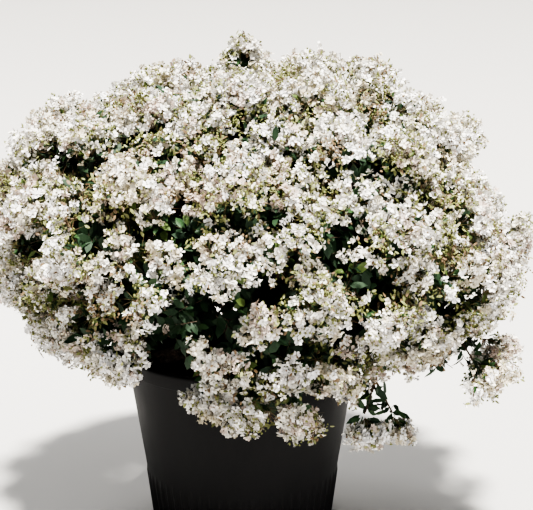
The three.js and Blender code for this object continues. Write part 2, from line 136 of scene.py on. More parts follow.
# Where the blossom stands open and the dark inside shows: azimuth, latitude and radius.
GAPS = (
    (-103, -13, 0.048), (-98, -8, 0.052), (-94, -9, 0.036), (-107, -48, 0.066), (-103, -30, 0.032),
    (-93, -31, 0.026), (-87, -26, 0.029), (-80, -26, 0.023), (-82, -36, 0.014), (-78, -34, 0.025),
    (-84, 0, 0.027), (-80, -5, 0.016), (-82, 9, 0.016), (-72, 2, 0.046), (-72, -16, 0.030),
    (-76, 14, 0.028), (-73, 17, 0.022), (-100, 15, 0.034), (-100, 8, 0.032), (-96, 16, 0.014),
    (-118, 11, 0.044), (-131, 30, 0.048), (-113, 41, 0.020), (-132, 6, 0.048), (-112, -12, 0.028),
    (-110, 0, 0.022), (-122, -22, 0.036), (-118, -32, 0.020), (-46, -12, 0.040), (-42, -44, 0.025),
    (-36, -74, 0.022), (-52, -22, 0.030), (-46, -30, 0.020), (-48, 14, 0.028), (-38, -54, 0.022),
    (-74, -51, 0.042), (-68, 30, 0.024), (-120, -4, 0.024), (-69, -6, 0.019), (-59, 8, 0.016),
    (-54, 1, 0.020), (-55, 7, 0.016), (-57, 31, 0.017), (-65, 7, 0.014), (-140, 24, 0.022),
    (-110, -5, 0.026), (-89, 22, 0.012), (-66, 33, 0.012), (-64, 13, 0.018), (-72, 8, 0.012),
    (-82, 30, 0.017), (-112, 34, 0.014), (-150, -35, 0.050), (-168, 4, 0.045), (-4, 25, 0.055),
    (24, -12, 0.060), (20, 38, 0.036), (58, 26, 0.048), (50, -10, 0.042), (92, -4, 0.060),
    (80, 42, 0.034), (120, 18, 0.050), (118, -30, 0.045), (156, -20, 0.055), (140, 8, 0.038),
    (172, 24, 0.048), (160, 50, 0.045),
)
# Each gap is a row of balls: how far inside the dome each one lies, and its share of the gap's radius.
GAP_DEPTHS = (-0.035, 0.0, 0.05, 0.10, 0.15, 0.20, 0.25, 0.31)
GAP_SHARES = (1.0, 1.0, 1.0, 0.95, 0.88, 0.82, 0.76, 0.70)
# Beyond this depth the inner leaves stand in a gap too, so that none opens through the whole crown.
LEAFY_DEPTH = 0.12
# The gaps behind this Y aren't seen in the photo and are drawn out sideways: degrees aside for each metre
# of radius, and the share of the radius there.
FRONT_LIMIT = -0.15
FRONT_GAP = ((0, 1.0),)
WIDE_GAP = ((0, 0.85), (80, 0.66), (-62, 0.52))

# The blossom heads: their length, and the share of it at which their middle lies. The sprig at the top
# stands a little over its solid. Two heads hang below the hem, one to the left of the pot and one over
# its rim in front.
HEAD_LENGTH = 0.122
HEAD_HEART = 0.55
TOP_SPRIG = np.array([0.005, -0.040, 1.405])
SPRIG_RISE = 0.012
HANGING_HEADS = ((-0.33, -0.50, 0.535), (-0.061, -0.573, 0.460))
# How full the heads are that aren't whole ones.
SPRIG_PUFF = 0.56
LOW_PUFF = 0.60
HANGING_PUFFS = (0.74, 0.62)
HANGING = slice(-len(HANGING_HEADS), None)
# The share of the heads above the widest ring, how many are tried, and their space, less below a latitude.
UPPER_SHARE = 0.58
HEAD_DRAWS = 9000
HEAD_SPACE = 0.140
LOW_HEAD_SPACE = 0.118
LOW_LATITUDE = -38
# The lesser heads between them: tries, stand on the dome, space and distance from gaps.
FILLER_DRAWS = 5000
FILLER_STAND = 0.940
FILLER_SPACE = 0.100
FILLER_MARGIN = 0.034
# The space between the first heads of clusters, and how far a head at their edge sinks.
CLUSTER_SPACE = 0.185
CLUSTER_EDGE = 0.15
CLUSTER_SINK = 0.042
# How near a corner of a mass must lie for its head to stand.
STANDING_REACH = 0.030
# The masses: how deep each one's stem ends below the dome, its length, and where the lowest tuft hangs.
MASS_DEPTH = 0.190
STEM_LENGTH = 0.150
LOW_AZIMUTH = -38
LOW_REACH = 0.500
LOW_HEIGHT = 0.275
# The first masses stand on limbs of their own, and the others on side boughs.
LIMBS = 7

# The panicles of a head: how far out they stand round its middle, their half widths and their half lengths.
PANICLE_STAND = 0.055
PANICLE_WIDTH = 0.032
PANICLE_LENGTH = 0.036
MIDDLE_PANICLE_LENGTH = 0.042
CLUMPS = 12
CLUMP_FLOWERS = 3
TUFT_BUDS = 14
# The spread of a clump's flowers, the share open on a panicle in bud, and their start above a head's foot.
FLOWER_SPREAD = 0.0076
OPEN_IN_BUD = 0.40
FLOWER_START = 0.030
# The whites of the petals: name, share of the flowers, light and shade.
PETALS = (
    ("white", 0.20, (0.88, 0.86, 0.83), (0.80, 0.77, 0.72)),
    ("snow", 0.20, (0.92, 0.91, 0.90), (0.86, 0.84, 0.82)),
    # The pearl whites are the white greyed down: painted shade.
    ("pearl_painted_shade", 0.19, (0.76, 0.74, 0.69), (0.64, 0.61, 0.55)),
    ("ivory", 0.18, (0.84, 0.81, 0.73), (0.70, 0.65, 0.55)),
    ("cream", 0.13, (0.68, 0.63, 0.51), (0.54, 0.48, 0.36)),
    ("blush", 0.10, (0.66, 0.57, 0.51), (0.52, 0.42, 0.36)),
)
# The leafy shoots: how many lie under the dome, by each gap and over the rim, the share above the widest
# ring, and the latitude of the lowest.
SHOOTS = 1500
GAP_SHOOTS = 12
RIM_SHOOTS = 90
UPPER_SHOOTS = 0.56
LOWEST_SHOOT = -80
# The leaves on each shoot and twig, on the low stem, round each head and by each panicle, and their lengths.
SHOOT_LEAVES = 11
TWIG_LEAVES = 10
LOW_LEAVES = 18
COLLAR_LEAVES = 14
PEEPING_LEAVES = 3
PEEPING_LENGTH = 0.85
OUTER_LENGTHS = (0.026, 0.046)
INNER_LENGTHS = (0.030, 0.050)

# The stage and its light: a high sun, and softboxes by name, place, aim, size, power and colour.
FLOOR_SIZE = 14
WALL_HEIGHT = 7
SWEEP_RADIUS = 2.5
KEY_WAY = (0.06, -0.32, 0.94)
KEY_POWER = 12.2
KEY_SOFTNESS = 7
KEY_COLOUR = (1.0, 0.975, 0.925)
SOFTBOXES = (
    ("fill_softbox", (2.6, -3.8, 1.9), (0, 0, 0.7), 2.5, 40, (0.97, 0.98, 1.0)),
    ("back_softbox", (-0.6, 3.2, 3.2), (0, 0, 1.0), 2.0, 130, (1, 1, 1)),
)
AIR_COLOUR = (0.90, 0.94, 1.0, 1)
AIR_STRENGTH = 0.29

UP = np.array([0.0, 0.0, 1.0])
FULL_TURN = 2 * math.pi
# The turn from each point to the next that spreads points evenly, in radians and in degrees.
EVEN_TURN = 2.39996
EVEN_DEGREES = 137.508

Mass = namedtuple("Mass", "tier name azimuth middle way start end")
Panicles = namedtuple("Panicles", "heads middles ways reach roots turned in_bud clumps clump_ways")


def unit(vectors):
    """Vectors brought to a length of one."""
    vectors = np.asarray(vectors, dtype=float)
    return vectors / np.maximum(norm(vectors, axis=-1, keepdims=True), 1e-12)


def rows(points):
    """Points in any array as one list of rows."""
    return points.reshape(-1, 3)


def chosen(keep, *arrays):
    """The same rows out of each of several arrays."""
    return [each[keep] for each in arrays]


def least_span(points, place):
    """The distance from a place to the nearest of some points."""
    return np.min(norm(np.asarray(points) - place, axis=1))


def evenly(seed):
    """A repeatable run of numbers from 0 to 1, the same run that laid out the solids."""
    state = seed
    while True:
        state = (state * 1664525 + 1013904223) & 0xFFFFFFFF
        yield state / 4294967296


def wrapped(angle):
    """An angle in degrees brought between -180 and 180."""
    return (angle + 180) % 360 - 180


def heading(azimuth):
    turn = math.radians(azimuth)
    return np.array([math.cos(turn), math.sin(turn), 0.0])


def from_lobes(azimuth):
    """What the lobes of the hem add to its drop and to its flare at an azimuth."""
    drop, flare = 0.0, 0.0
    for middle, spread, lobe_drop, lobe_flare in HEM_LOBES:
        share = math.exp(-((wrapped(azimuth - middle) / spread) ** 2))
        drop += lobe_drop * share
        flare += lobe_flare * share
    return drop, flare


def swell(azimuth, latitude):
    """How far out the dome stands, as a share, with its swells."""
    total = 1.0
    for middle, height, across, along, share in SWELLS:
        away = wrapped(azimuth - middle) / across
        total += share * math.exp(-(away**2) - ((latitude - height) / along) ** 2)
    return total


def dome_point(azimuth, latitude, depth=1.0):
    """A point of the dome: latitude 90 is its top, 0 its widest ring, -90 its hem, and depth 1 its skin."""
    drop, flare = from_lobes(azimuth)
    rise = math.sin(math.radians(latitude))
    spread = math.cos(math.radians(latitude)) if latitude > 0 else 1 - (DOME_TUCK - flare) * rise * rise
    height = DOME_RISE if latitude > 0 else DOME_DROP + drop
    across, along, _ = heading(azimuth)
    reach = np.array([DOME_HALF_WIDTH * spread * across, DOME_HALF_DEPTH * spread * along, height * rise])
    return DOME_MIDDLE + reach * depth * swell(azimuth, latitude)


def head_way(point):
    """The way a blossom head points: out of the dome, turned up above its middle and drooping below."""
    away = point - DOME_MIDDLE
    steep = away[2] / DOME_RISE**2 if away[2] > 0 else 0.35 * away[2] / DOME_DROP**2
    out = unit([away[0] / DOME_HALF_WIDTH**2, away[1] / DOME_HALF_DEPTH**2, steep])
    share = min(max(away[2] / 0.240, -1), 1)
    return unit(out + UP * share * (0.25 if share > 0 else 0.35))


def lay_masses():
    """The masses of the crown: where each one's middle lies, and the straight stem that carries it."""
    found = []
    for tier, count, latitude, turn, heart in TIERS:
        for index in range(count):
            azimuth = turn + index * 360 / count
            middle = dome_point(azimuth, latitude)
            way = unit(middle - np.array([DOME_MIDDLE[0], DOME_MIDDLE[1], heart]))
            end = middle - way * MASS_DEPTH
            start = end - way * STEM_LENGTH
            found.append(Mass(tier, f"{tier}_{index + 1}", azimuth, middle, way, start, end))
    ray = heading(LOW_AZIMUTH)
    middle = ray * LOW_REACH + UP * LOW_HEIGHT
    start = middle + UP * 0.260 - ray * 0.060
    way = unit(middle - start)
    found.append(Mass("low", "low_1", LOW_AZIMUTH, middle, way, start, start + way * 0.070))
    return found


def drawn_latitude(share, upper=UPPER_SHARE, lowest=-90):
    """A latitude for an even draw from 0 to 1, of which the upper share lies above the widest ring."""
    if share < upper:
        return math.degrees(math.asin(share / upper))
    return lowest * (share - upper) / (1 - upper)


def lay_heads():
    """The tips and ways of the blossom heads, spread evenly over the dome but for its hollows."""
    draw = evenly(11)
    pits = [(dome_point(azimuth, latitude), radius) for azimuth, latitude, radius in HOLLOWS]
    tips = [TOP_SPRIG]
    for _ in range(HEAD_DRAWS):
        azimuth = 360 * next(draw) - 180
        latitude = drawn_latitude(next(draw))
        point = dome_point(azimuth, latitude, 1 - 0.03 * next(draw))
        if any(norm(middle - point) < radius for middle, radius in pits):
            continue
        if least_span(tips, point) > (LOW_HEAD_SPACE if latitude < LOW_LATITUDE else HEAD_SPACE):
            tips.append(point)
    ways = [head_way(tip) for tip in tips]
    low = masses[-1]
    for turn in (80, 260):
        tips.append(low.middle + heading(LOW_AZIMUTH + turn) * 0.052)
        ways.append(low.way)
    return np.array(tips), np.array(ways)


def standing_heads(tips):
    """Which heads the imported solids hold: those with a corner of a mass at their tip."""
    corners = []
    for name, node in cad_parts.items():
        if name.startswith("mass_"):
            flat = np.empty(len(node.data.vertices) * 3, dtype=np.float32)
            node.data.vertices.foreach_get("co", flat)
            corners.append(rows(flat))
    corners = np.concatenate(corners)
    return np.array([least_span(corners, tip) for tip in tips]) < STANDING_REACH


def lay_fillers(tips):
    """Lesser heads, where the blossom would stand open between two heads and the photo shows no gap."""
    draw = evenly(29)
    tips = list(tips)
    first = len(tips)
    for _ in range(FILLER_DRAWS):
        azimuth = 360 * next(draw) - 180
        point = dome_point(azimuth, drawn_latitude(next(draw)), FILLER_STAND)
        open_there = norm(gap_middles - point, axis=1) < gap_radii + FILLER_MARGIN
        if not open_there.any() and least_span(tips, point) > FILLER_SPACE:
            tips.append(point)
    return np.array([*tips[first:], *HANGING_HEADS])


def gap_way(point):
    """The way a gap goes in: to the dome's middle, and in front bent towards the way the photo looks."""
    inward = unit(DOME_MIDDLE - point)
    if point[1] > FRONT_LIMIT:
        return inward
    return unit(unit(point - np.array(CAMERA_PLACE)) * 0.85 + inward * 0.15)


def lay_gaps():
    """The middles, radii and depths of the balls of air that open the gaps."""
    middles, radii, depths = [], [], []
    for azimuth, latitude, radius in GAPS:
        behind = dome_point(azimuth, latitude)[1] > FRONT_LIMIT
        for aside, wide in WIDE_GAP if behind else FRONT_GAP:
            mouth = dome_point(azimuth + aside * radius, latitude - 0.5 * aside * radius)
            for deep, share in zip(GAP_DEPTHS, GAP_SHARES):
                middles.append(mouth + gap_way(mouth) * deep)
                radii.append(radius * wide * share)
                depths.append(deep)
    return np.array(middles), np.array(radii), np.array(depths)


def gather_heads(tips):
    """Heads in clusters of a few, each round a head that stands well apart from the clusters before it."""
    first = [0]
    for index, tip in enumerate(tips):
        if least_span(tips[first], tip) > CLUSTER_SPACE:
            first.append(index)
    clusters = np.argmin(norm(tips[:, None] - tips[first][None], axis=2), axis=1)
    return clusters, norm(tips - tips[first][clusters], axis=1)


masses = lay_masses()
mass_nodes = [f"mass_{mass.name}" for mass in masses]
mass_middles, mass_ways, mass_starts, mass_ends = (
    np.array([getattr(mass, key) for mass in masses]) for key in ("middle", "way", "start", "end")
)
gap_middles, gap_radii, gap_depths = lay_gaps()
head_tips, head_ways = lay_heads()
kept = standing_heads(head_tips)
fillers = lay_fillers(head_tips[kept])
head_ways = np.concatenate([head_ways[kept], [head_way(tip) for tip in fillers]])
head_tips = np.concatenate([head_tips[kept], fillers])
head_clusters, head_spans = gather_heads(head_tips)
head_spans[HANGING] = 0
# The heads at the edge of a cluster sit lower than those in its middle, so that each cluster swells out.
head_sinks = CLUSTER_SINK * np.clip(head_spans / CLUSTER_EDGE, 0, 1.1) ** 2
head_tips = head_tips - head_ways * head_sinks[:, None]
head_tips[0] += UP * SPRIG_RISE
head_bases = head_tips - head_ways * HEAD_LENGTH
head_middles = head_bases + head_ways * HEAD_LENGTH * HEAD_HEART
cluster_middles = np.array(
    [head_middles[head_clusters == each].mean(axis=0) for each in range(head_clusters.max() + 1)]
)
head_mass = np.argmin(norm(head_tips[:, None] - mass_middles[None], axis=2), axis=1)
head_puff = np.where(head_mass == len(masses) - 1, LOW_PUFF, 1.0)
head_puff[0] = SPRIG_PUFF
head_puff[HANGING] = HANGING_PUFFS


# Shading.


def feed(tree, socket, value):
    """Sets a socket to a number or a colour, or links it to the socket that is given."""
    if isinstance(value, bpy.types.NodeSocket):
        tree.links.new(value, socket)
    else:
        socket.default_value = (*value, 1) if isinstance(value, tuple) else value


def add_node(tree, kind, inputs, gives=0, **settings):
    """Adds a shader node, feeds its inputs and gives one of its outputs."""
    node = tree.nodes.new("ShaderNode" + kind)
    for name, value in settings.items():
        setattr(node, name, value)
    for name, value in inputs.items():
        feed(tree, node.inputs[name], value)
    return node.outputs[gives]


def make_mottle():
    """Soft patches: a noise on the object's own coordinates, cut to a mask between two levels."""
    tree = bpy.data.node_groups.new("mottle", "ShaderNodeTree")
    for label in ("Scale", "Low", "High", "Stretch"):
        tree.interface.new_socket(label, in_out="INPUT", socket_type="NodeSocketFloat")
    tree.interface.new_socket("Mask", in_out="OUTPUT", socket_type="NodeSocketFloat")
    given = tree.nodes.new("NodeGroupInput").outputs
    place = add_node(tree, "TexCoord", {}, "Object")
    stretch = add_node(tree, "CombineXYZ", {"X": 1, "Y": 1, "Z": given["Stretch"]})
    scaled = add_node(tree, "VectorMath", {0: place, 1: stretch}, operation="MULTIPLY")
    fineness = {"Scale": given["Scale"], "Detail": 4, "Roughness": 0.6}
    grain = add_node(tree, "TexNoise", {"Vector": scaled, **fineness})
    cut = add_node(tree, "MapRange", {"Value": grain, "From Min": given["Low"], "From Max": given["High"]})
    tree.links.new(cut, tree.nodes.new("NodeGroupOutput").inputs["Mask"])
    return tree


mottle = make_mottle()


def add_mask(tree, scale, low, high, stretch=1.0):
    levels = {"Scale": scale, "Low": low, "High": high, "Stretch": stretch}
    return add_node(tree, "Group", levels, "Mask", node_tree=mottle)


def mix_colours(tree, mask, first, second):
    """A colour that goes from the first to the second as the mask rises."""
    return add_node(tree, "Mix", {"Factor": mask, "A": first, "B": second}, "Result", data_type="RGBA")


def between(tree, mask, low, high):
    """A number that goes from low to high as the mask rises."""
    return add_node(tree, "MapRange", {"Value": mask, "To Min": low, "To Max": high})


def new_material(name):
    material = bpy.data.materials.new(name)
    material.use_nodes = True
    return material


def coat(material, colour, roughness, specular=0.5, bump=None):
    """Dresses a material. A bump is its height, strength and depth."""
    tree = material.node_tree
    shader = tree.nodes["Principled BSDF"].inputs
    feed(tree, shader["Base Color"], colour)
    feed(tree, shader["Roughness"], roughness)
    feed(tree, shader["Specular IOR Level"], specular)
    if bump:
        relief = add_node(tree, "Bump", dict(zip(("Height", "Strength", "Distance"), bump)))
        feed(tree, shader["Normal"], relief)
    return material


def mottled_finish(name, masks, colours, roughness, specular=0.5, bump=None):
    """Colours laid over one another by one mask after another. The second mask also sets the roughness."""
    material = new_material(name)
    tree = material.node_tree
    masks = [add_mask(tree, *each) for each in masks]
    tint = colours[0]
    for mask, colour in zip(masks, colours[1:]):
        tint = mix_colours(tree, mask, tint, colour)
    if bump:
        bump = (masks[bump[0]], *bump[1:])
    return coat(material, tint, between(tree, masks[1], *roughness), specular, bump)


def petal_finish(name, light, shade):
    # The last colour, a little darker than the shade, is painted shade in fine specks.
    deeper_painted_shade = tuple(value * 0.9 for value in shade)
    masks = ((9, 0.35, 0.68), (130, 0.45, 0.75))
    return mottled_finish(name, masks, (light, shade, deeper_painted_shade), (0.5, 0.7), 0.3)


def leaf_finish(name, light, dark, gloss):
    masks = ((14, 0.35, 0.65), (260, 0.4, 0.7))
    return mottled_finish(name, masks, (dark, light, light), (gloss, gloss + 0.2), 0.35, (1, 0.35, 0.0006))


def twig_finish(name, young, old):
    return mottled_finish(name, ((40, 0.4, 0.6), (500, 0.4, 0.7)), (young, old, old), (0.6, 0.85))


def bark_finish():
    """Brown streaks that run along the stem, patches that have peeled, and pores."""
    masks = ((90, 0.35, 0.65, 0.12), (16, 0.5, 0.56, 0.35), (420, 0.4, 0.7))
    colours = ((0.050, 0.033, 0.023), (0.110, 0.076, 0.051), (0.200, 0.150, 0.106), (0.085, 0.060, 0.042))
    return mottled_finish("peeling_bark", masks, colours, (0.85, 0.6), bump=(0, 0.6, 0.0015))


def soil_finish():
    masks = ((60, 0.35, 0.65), (300, 0.4, 0.65))
    colours = ((0.022, 0.014, 0.009), (0.070, 0.044, 0.027), (0.035, 0.024, 0.016))
    return mottled_finish("bark_potting_mix", masks, colours, (0.85, 1.0), bump=(1, 0.8, 0.003))


def pot_finish():
    """Black plastic under a thin veil of dust, which lies in smears and towards the foot."""
    material = new_material("black_nursery_plastic")
    tree = material.node_tree
    height = add_node(tree, "SeparateXYZ", {0: add_node(tree, "TexCoord", {}, "Object")}, "Z")
    low = add_node(tree, "MapRange", {"Value": height, "From Min": 0.22, "From Max": 0.0})
    smears = add_mask(tree, 7, 0.38, 0.72, 0.35)
    grit = add_mask(tree, 320, 0.5, 0.72)
    dusty = add_node(tree, "Math", {0: low, 1: 0.35, 2: smears}, operation="MULTIPLY_ADD")
    specks = between(tree, grit, 0.45, 1.0)
    veiled = add_node(tree, "Math", {0: dusty, 1: specks}, operation="MULTIPLY", use_clamp=True)
    tint = mix_colours(tree, veiled, (0.0055, 0.0055, 0.0062), (0.020, 0.019, 0.0195))
    return coat(material, tint, between(tree, veiled, 0.50, 0.82), 0.20, (grit, 0.15, 0.0005))


# Pieces.


def set_apart(piece, nodes):
    """Gives a piece its body and hides the solids it stands for."""
    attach(piece, "root")
    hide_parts(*nodes)


def make_piece(name, parts, material, nodes=mass_nodes, smooth=True):
    """One piece from many sets of corners and triangles."""
    corners, faces, step = [], [], 0
    for some_corners, some_faces in parts:
        corners.append(some_corners)
        faces.append(some_faces + step)
        step += len(some_corners)
    mesh = bpy.data.meshes.new(name)
    mesh.from_pydata(np.concatenate(corners), [], np.concatenate(faces))
    if smooth:
        mesh.shade_smooth()
    mesh.materials.append(material)
    piece = bpy.data.objects.new(name, mesh)
    bpy.context.scene.collection.objects.link(piece)
    set_apart(piece, nodes)


def across_of(ways):
    """A direction square to each way."""
    helper = np.where(np.abs(ways[:, 2:3]) < 0.9, UP, np.array([1.0, 0.0, 0.0]))
    return unit(np.cross(helper, ways))


def frames_of(ways, rolls):
    """Turned frames whose third axis is the way, as matrices of columns."""
    side = across_of(ways)
    other = np.cross(ways, side)
    cosine, sine = np.cos(rolls)[:, None], np.sin(rolls)[:, None]
    return np.stack([cosine * side + sine * other, cosine * other - sine * side, ways], axis=2)


def turned_frames(rng, ways, most=FULL_TURN):
    """Such frames, each turned about its way at random."""
    return frames_of(ways, rng.random(len(ways)) * most)


def strayed(rng, points, spread):
    """Points or ways, each moved a little at random."""
    return points + rng.normal(size=points.shape) * spread


def repeated(faces, count, step):
    """The triangles of one shape for each of its copies, whose corners follow one another."""
    steps = np.arange(count) * step
    return rows(faces[None] + steps[:, None, None])


def strewn(template, places, frames, sizes):
    """Copies of a small shape at many places."""
    corners, faces = template
    laid = np.einsum("nij,vj->nvi", frames, corners) * sizes[:, None, None] + places[:, None]
    return rows(laid), repeated(faces, len(places), len(corners))


def strewn_kinds(shapes, picks, *laid):
    return [strewn(shape, *chosen(picks == kind, *laid)) for kind, shape in enumerate(shapes)]


def on_curve(foot, bend, tip, share):
    """A point of a curve from foot to tip that is drawn towards its bend."""
    return foot * (1 - share) ** 2 + 2 * bend * share * (1 - share) + tip * share**2


def bent(foot, bend, tip, rings):
    """Points along many curves, each at as many rings."""
    return on_curve(foot[:, None], bend[:, None], tip[:, None], np.linspace(0, 1, rings)[None, :, None])


def tubes(paths, radii, sides, across=None, relief=1.0):
    """Round closed tubes along many paths at once."""
    count, rings = paths.shape[:2]
    ways = unit(np.gradient(paths, axis=1))
    if across is None:
        across = across_of(unit(paths[:, -1] - paths[:, 0]))
    side = unit(across[:, None] - ways * np.sum(across[:, None] * ways, axis=2, keepdims=True))
    other = np.cross(ways, side)
    column = np.arange(sides)
    angles = column * FULL_TURN / sides
    ring = np.cos(angles)[:, None] * side[:, :, None] + np.sin(angles)[:, None] * other[:, :, None]
    reach = np.broadcast_to(radii, (count, rings))[:, :, None] * (np.ones(sides) * relief)
    skin = (paths[:, :, None] + ring * reach[..., None]).reshape(count, rings * sides, 3)
    corners = np.concatenate([skin, paths[:, :1], paths[:, -1:]], axis=1)
    after = (column + 1) % sides
    row = (np.arange(rings - 1) * sides)[:, None]
    first = rows(np.stack([row + column, row + after, row + sides + after], axis=2))
    second = rows(np.stack([row + column, row + sides + after, row + sides + column], axis=2))
    foot = np.stack([np.full(sides, rings * sides), after, column], axis=1)
    last = (rings - 1) * sides
    tip = np.stack([np.full(sides, rings * sides + 1), last + column, last + after], axis=1)
    return rows(corners), repeated(np.concatenate([first, second, foot, tip]), count, corners.shape[1])


def tapered(paths, wide, narrow, sides, relief=1.0):
    """Tubes that grow evenly thinner from their feet to their tips."""
    return tubes(paths, np.linspace(wide, narrow, paths.shape[1])[None], sides, relief=relief)


# Pot and filling.


def deselect_all():
    if bpy.context.object and bpy.context.object.mode == "EDIT":
        bpy.ops.object.mode_set(mode="OBJECT")
    bpy.ops.object.select_all(action="DESELECT")


def widen(factor, height):
    """Resizes what is selected about the pot's axis."""
    bpy.ops.transform.resize(value=(factor, factor, 1), center_override=(0, 0, height))


def raise_rings(name, columns, rings):
    """A skin drawn up from ring to ring, each a radius and a height. It is left in edit mode."""
    radius, height = rings[0]
    deselect_all()
    place = (0, 0, height)
    bpy.ops.mesh.primitive_circle_add(vertices=columns, radius=radius, fill_type="NGON", location=place)
    piece = bpy.context.object
    piece.name = piece.data.name = name
    bpy.ops.object.transform_apply(location=True, rotation=True, scale=True)
    bpy.ops.object.mode_set(mode="EDIT")
    bpy.ops.mesh.select_all(action="SELECT")
    for new_radius, new_height in rings[1:]:
        bpy.ops.mesh.extrude_region_move(TRANSFORM_OT_translate={"value": (0, 0, new_height - height)})
        if abs(new_radius - radius) > 1e-6:
            widen(new_radius / radius, new_height)
        radius, height = new_radius, new_height
    return piece


def select_corners(piece, wanted):
    """Selects the corners whose places answer a test, in edit mode."""
    mesh = bmesh.from_edit_mesh(piece.data)
    for vertex in mesh.verts:
        vertex.select = wanted(vertex.co)
    mesh.select_flush_mode()
    bmesh.update_edit_mesh(piece.data)


def close_skin(piece, finish):
    """Turns the faces out, leaves edit mode and gives the piece its finish."""
    bpy.ops.mesh.select_all(action="SELECT")
    bpy.ops.mesh.normals_make_consistent(inside=False)
    bpy.ops.object.mode_set(mode="OBJECT")
    piece.data.materials.append(finish)


def wall_radius(height):
    return POT_FOOT_RADIUS + (POT_TOP_RADIUS - POT_FOOT_RADIUS) * height / POT_HEIGHT


def pot_outline():
    """Radius and height of each ring of the pot, from its foot over the rim and down inside."""
    outside = (*RIDGE_RINGS, RIDGE_TOP, 0.166, 0.200, 0.260, 0.320, 0.380, 0.430, RIM_FOOT - 0.004, RIM_FOOT)
    return [
        *((0.2495, 0.0), (0.2535, 0.0018)),
        *((wall_radius(height), height) for height in outside),
        *((0.3335, 0.4682), (0.3425, 0.4686), (0.3445, 0.4700), (0.3450, 0.4725), (0.3458, 0.485)),
        *((RIM_RADIUS, 0.500), (0.3468, 0.5045), (0.3455, 0.5078), (0.3430, 0.5096), (0.3400, 0.5100)),
        *((0.3330, 0.5100), (0.3302, 0.5092), (0.3288, 0.5072)),
        *((wall_radius(height) - POT_WALL, height) for height in (0.490, 0.430, 0.300, 0.150, 0.030)),
        (wall_radius(POT_FLOOR) - POT_WALL - 0.006, POT_FLOOR),
    ]


def push_ridges(piece):
    """Pulls every eighth column out into an upright ridge that runs out into the wall at its top."""
    per_ridge = POT_COLUMNS // RIDGES

    def on_ridge(place, height, offset):
        if abs(place.z - height) >= 0.0005 or math.hypot(place.x, place.y) <= wall_radius(height) - 0.003:
            return False
        return round(math.atan2(place.y, place.x) / FULL_TURN * POT_COLUMNS) % per_ridge == offset

    for height in RIDGE_RINGS:
        fade = min(1, (RIDGE_TOP - height) / 0.02) * (0.4 + 0.6 * (1 - height / RIDGE_TOP))
        if height == RIDGE_RINGS[0]:
            fade *= 0.55
        for offset, share in ((0, 1.0), (1, 0.62), (per_ridge - 1, 0.62)):
            select_corners(piece, lambda place: on_ridge(place, height, offset))
            widen(1 + RIDGE_STAND * fade * share / wall_radius(height), height)


def make_pot():
    piece = raise_rings("nursery_pot", POT_COLUMNS, pot_outline())
    bpy.ops.mesh.select_mode(type="VERT")
    push_ridges(piece)
    close_skin(piece, pot_finish())
    bpy.ops.object.shade_smooth_by_angle(angle=math.radians(38))
    set_apart(piece, ["pot"])


FILL_EDGE = wall_radius(FILL_EDGE_LEVEL) - POT_WALL - 0.0008


def fill_height(radius):
    edge = wall_radius(FILL_LEVEL) - POT_WALL - 0.0003
    share = min(max((radius - FILL_FLAT_RADIUS) / (edge - FILL_FLAT_RADIUS), 0), 1)
    return FILL_LEVEL - FILL_EDGE_DROP * share


def make_bed():
    """The lumpy bed of potting mix."""
    bottom = POT_FLOOR + 0.0003
    rings = [(wall_radius(bottom) - POT_WALL - 0.0065, bottom), (FILL_EDGE, FILL_EDGE_LEVEL)]
    for radius in (0.300, 0.275, 0.250, 0.225, 0.200, 0.175, 0.150, 0.125, 0.100, 0.075, 0.050):
        rings.append((radius, fill_height(radius)))
    piece = raise_rings("potting_mix_bed", 160, rings)
    select_corners(piece, lambda place: place.z > 0.43 and math.hypot(place.x, place.y) < FILL_EDGE - 0.01)
    bpy.ops.transform.vertex_random(offset=0.004, uniform=0.3, normal=0.4, seed=3)
    close_skin(piece, soil_finish())
    set_apart(piece, ["soil"])


def make_chips(rng):
    """Chips of bark strewn over the bed."""
    radius = 0.062 + (FILL_EDGE - 0.075) * np.sqrt(rng.random(CHIPS))
    turn = rng.random(CHIPS) * FULL_TURN
    height = np.array([fill_height(each) for each in radius]) + rng.uniform(-0.001, 0.004, CHIPS)
    places = np.stack([radius * np.cos(turn), radius * np.sin(turn), height], axis=1)
    ways = unit(rng.normal(size=(CHIPS, 3)) * 0.5 + UP)
    outline = ((-1, -0.45), (0.8, -0.6), (1, 0.35), (-0.7, 0.6))
    chip = np.array([(x, y, z) for z in (-0.2, 0.2) for x, y in outline])
    sides = [(0, 2, 1), (0, 3, 2), (4, 5, 6), (4, 6, 7)]
    for a, b in ((0, 1), (1, 2), (2, 3), (3, 0)):
        sides += [(a, b, b + 4), (a, b + 4, a + 4)]
    sizes = rng.uniform(0.004, 0.011, CHIPS)
    chips = strewn((chip, np.array(sides)), places, frames_of(ways, turn * 7), sizes)
    finish = twig_finish("bark_chips", (0.085, 0.052, 0.032), (0.030, 0.019, 0.013))
    make_piece("potting_mix_chips", [chips], finish, ["soil"], smooth=False)


# Wood.


def bark_relief(rng, count, rings, sides, depth):
    """Shallow flutes, folds and knots round each stem, as a share of its radius."""
    angle = np.arange(sides)[None, None] * FULL_TURN / sides
    along = np.linspace(0, 1, rings)[None, :, None]
    relief = np.ones((count, rings, sides))
    for lobes, share in ((2, 0.5), (3, 0.8), (5, 0.5), (7, 0.3)):
        phase = rng.random((count, 1, 1)) * FULL_TURN
        twist = rng.uniform(-3, 3, (count, 1, 1))
        relief += depth * share * np.sin(lobes * angle + phase + twist * along)
    for _ in range(6):
        middle = rng.random((count, 1, 1))
        turn = rng.random((count, 1, 1)) * FULL_TURN
        away = (angle - turn + math.pi) % FULL_TURN - math.pi
        relief += depth * 2.2 * np.exp(-(((along - middle) / 0.035) ** 2) - (away / 0.8) ** 2)
    relief += rng.normal(size=relief.shape) * depth * 0.18
    return relief


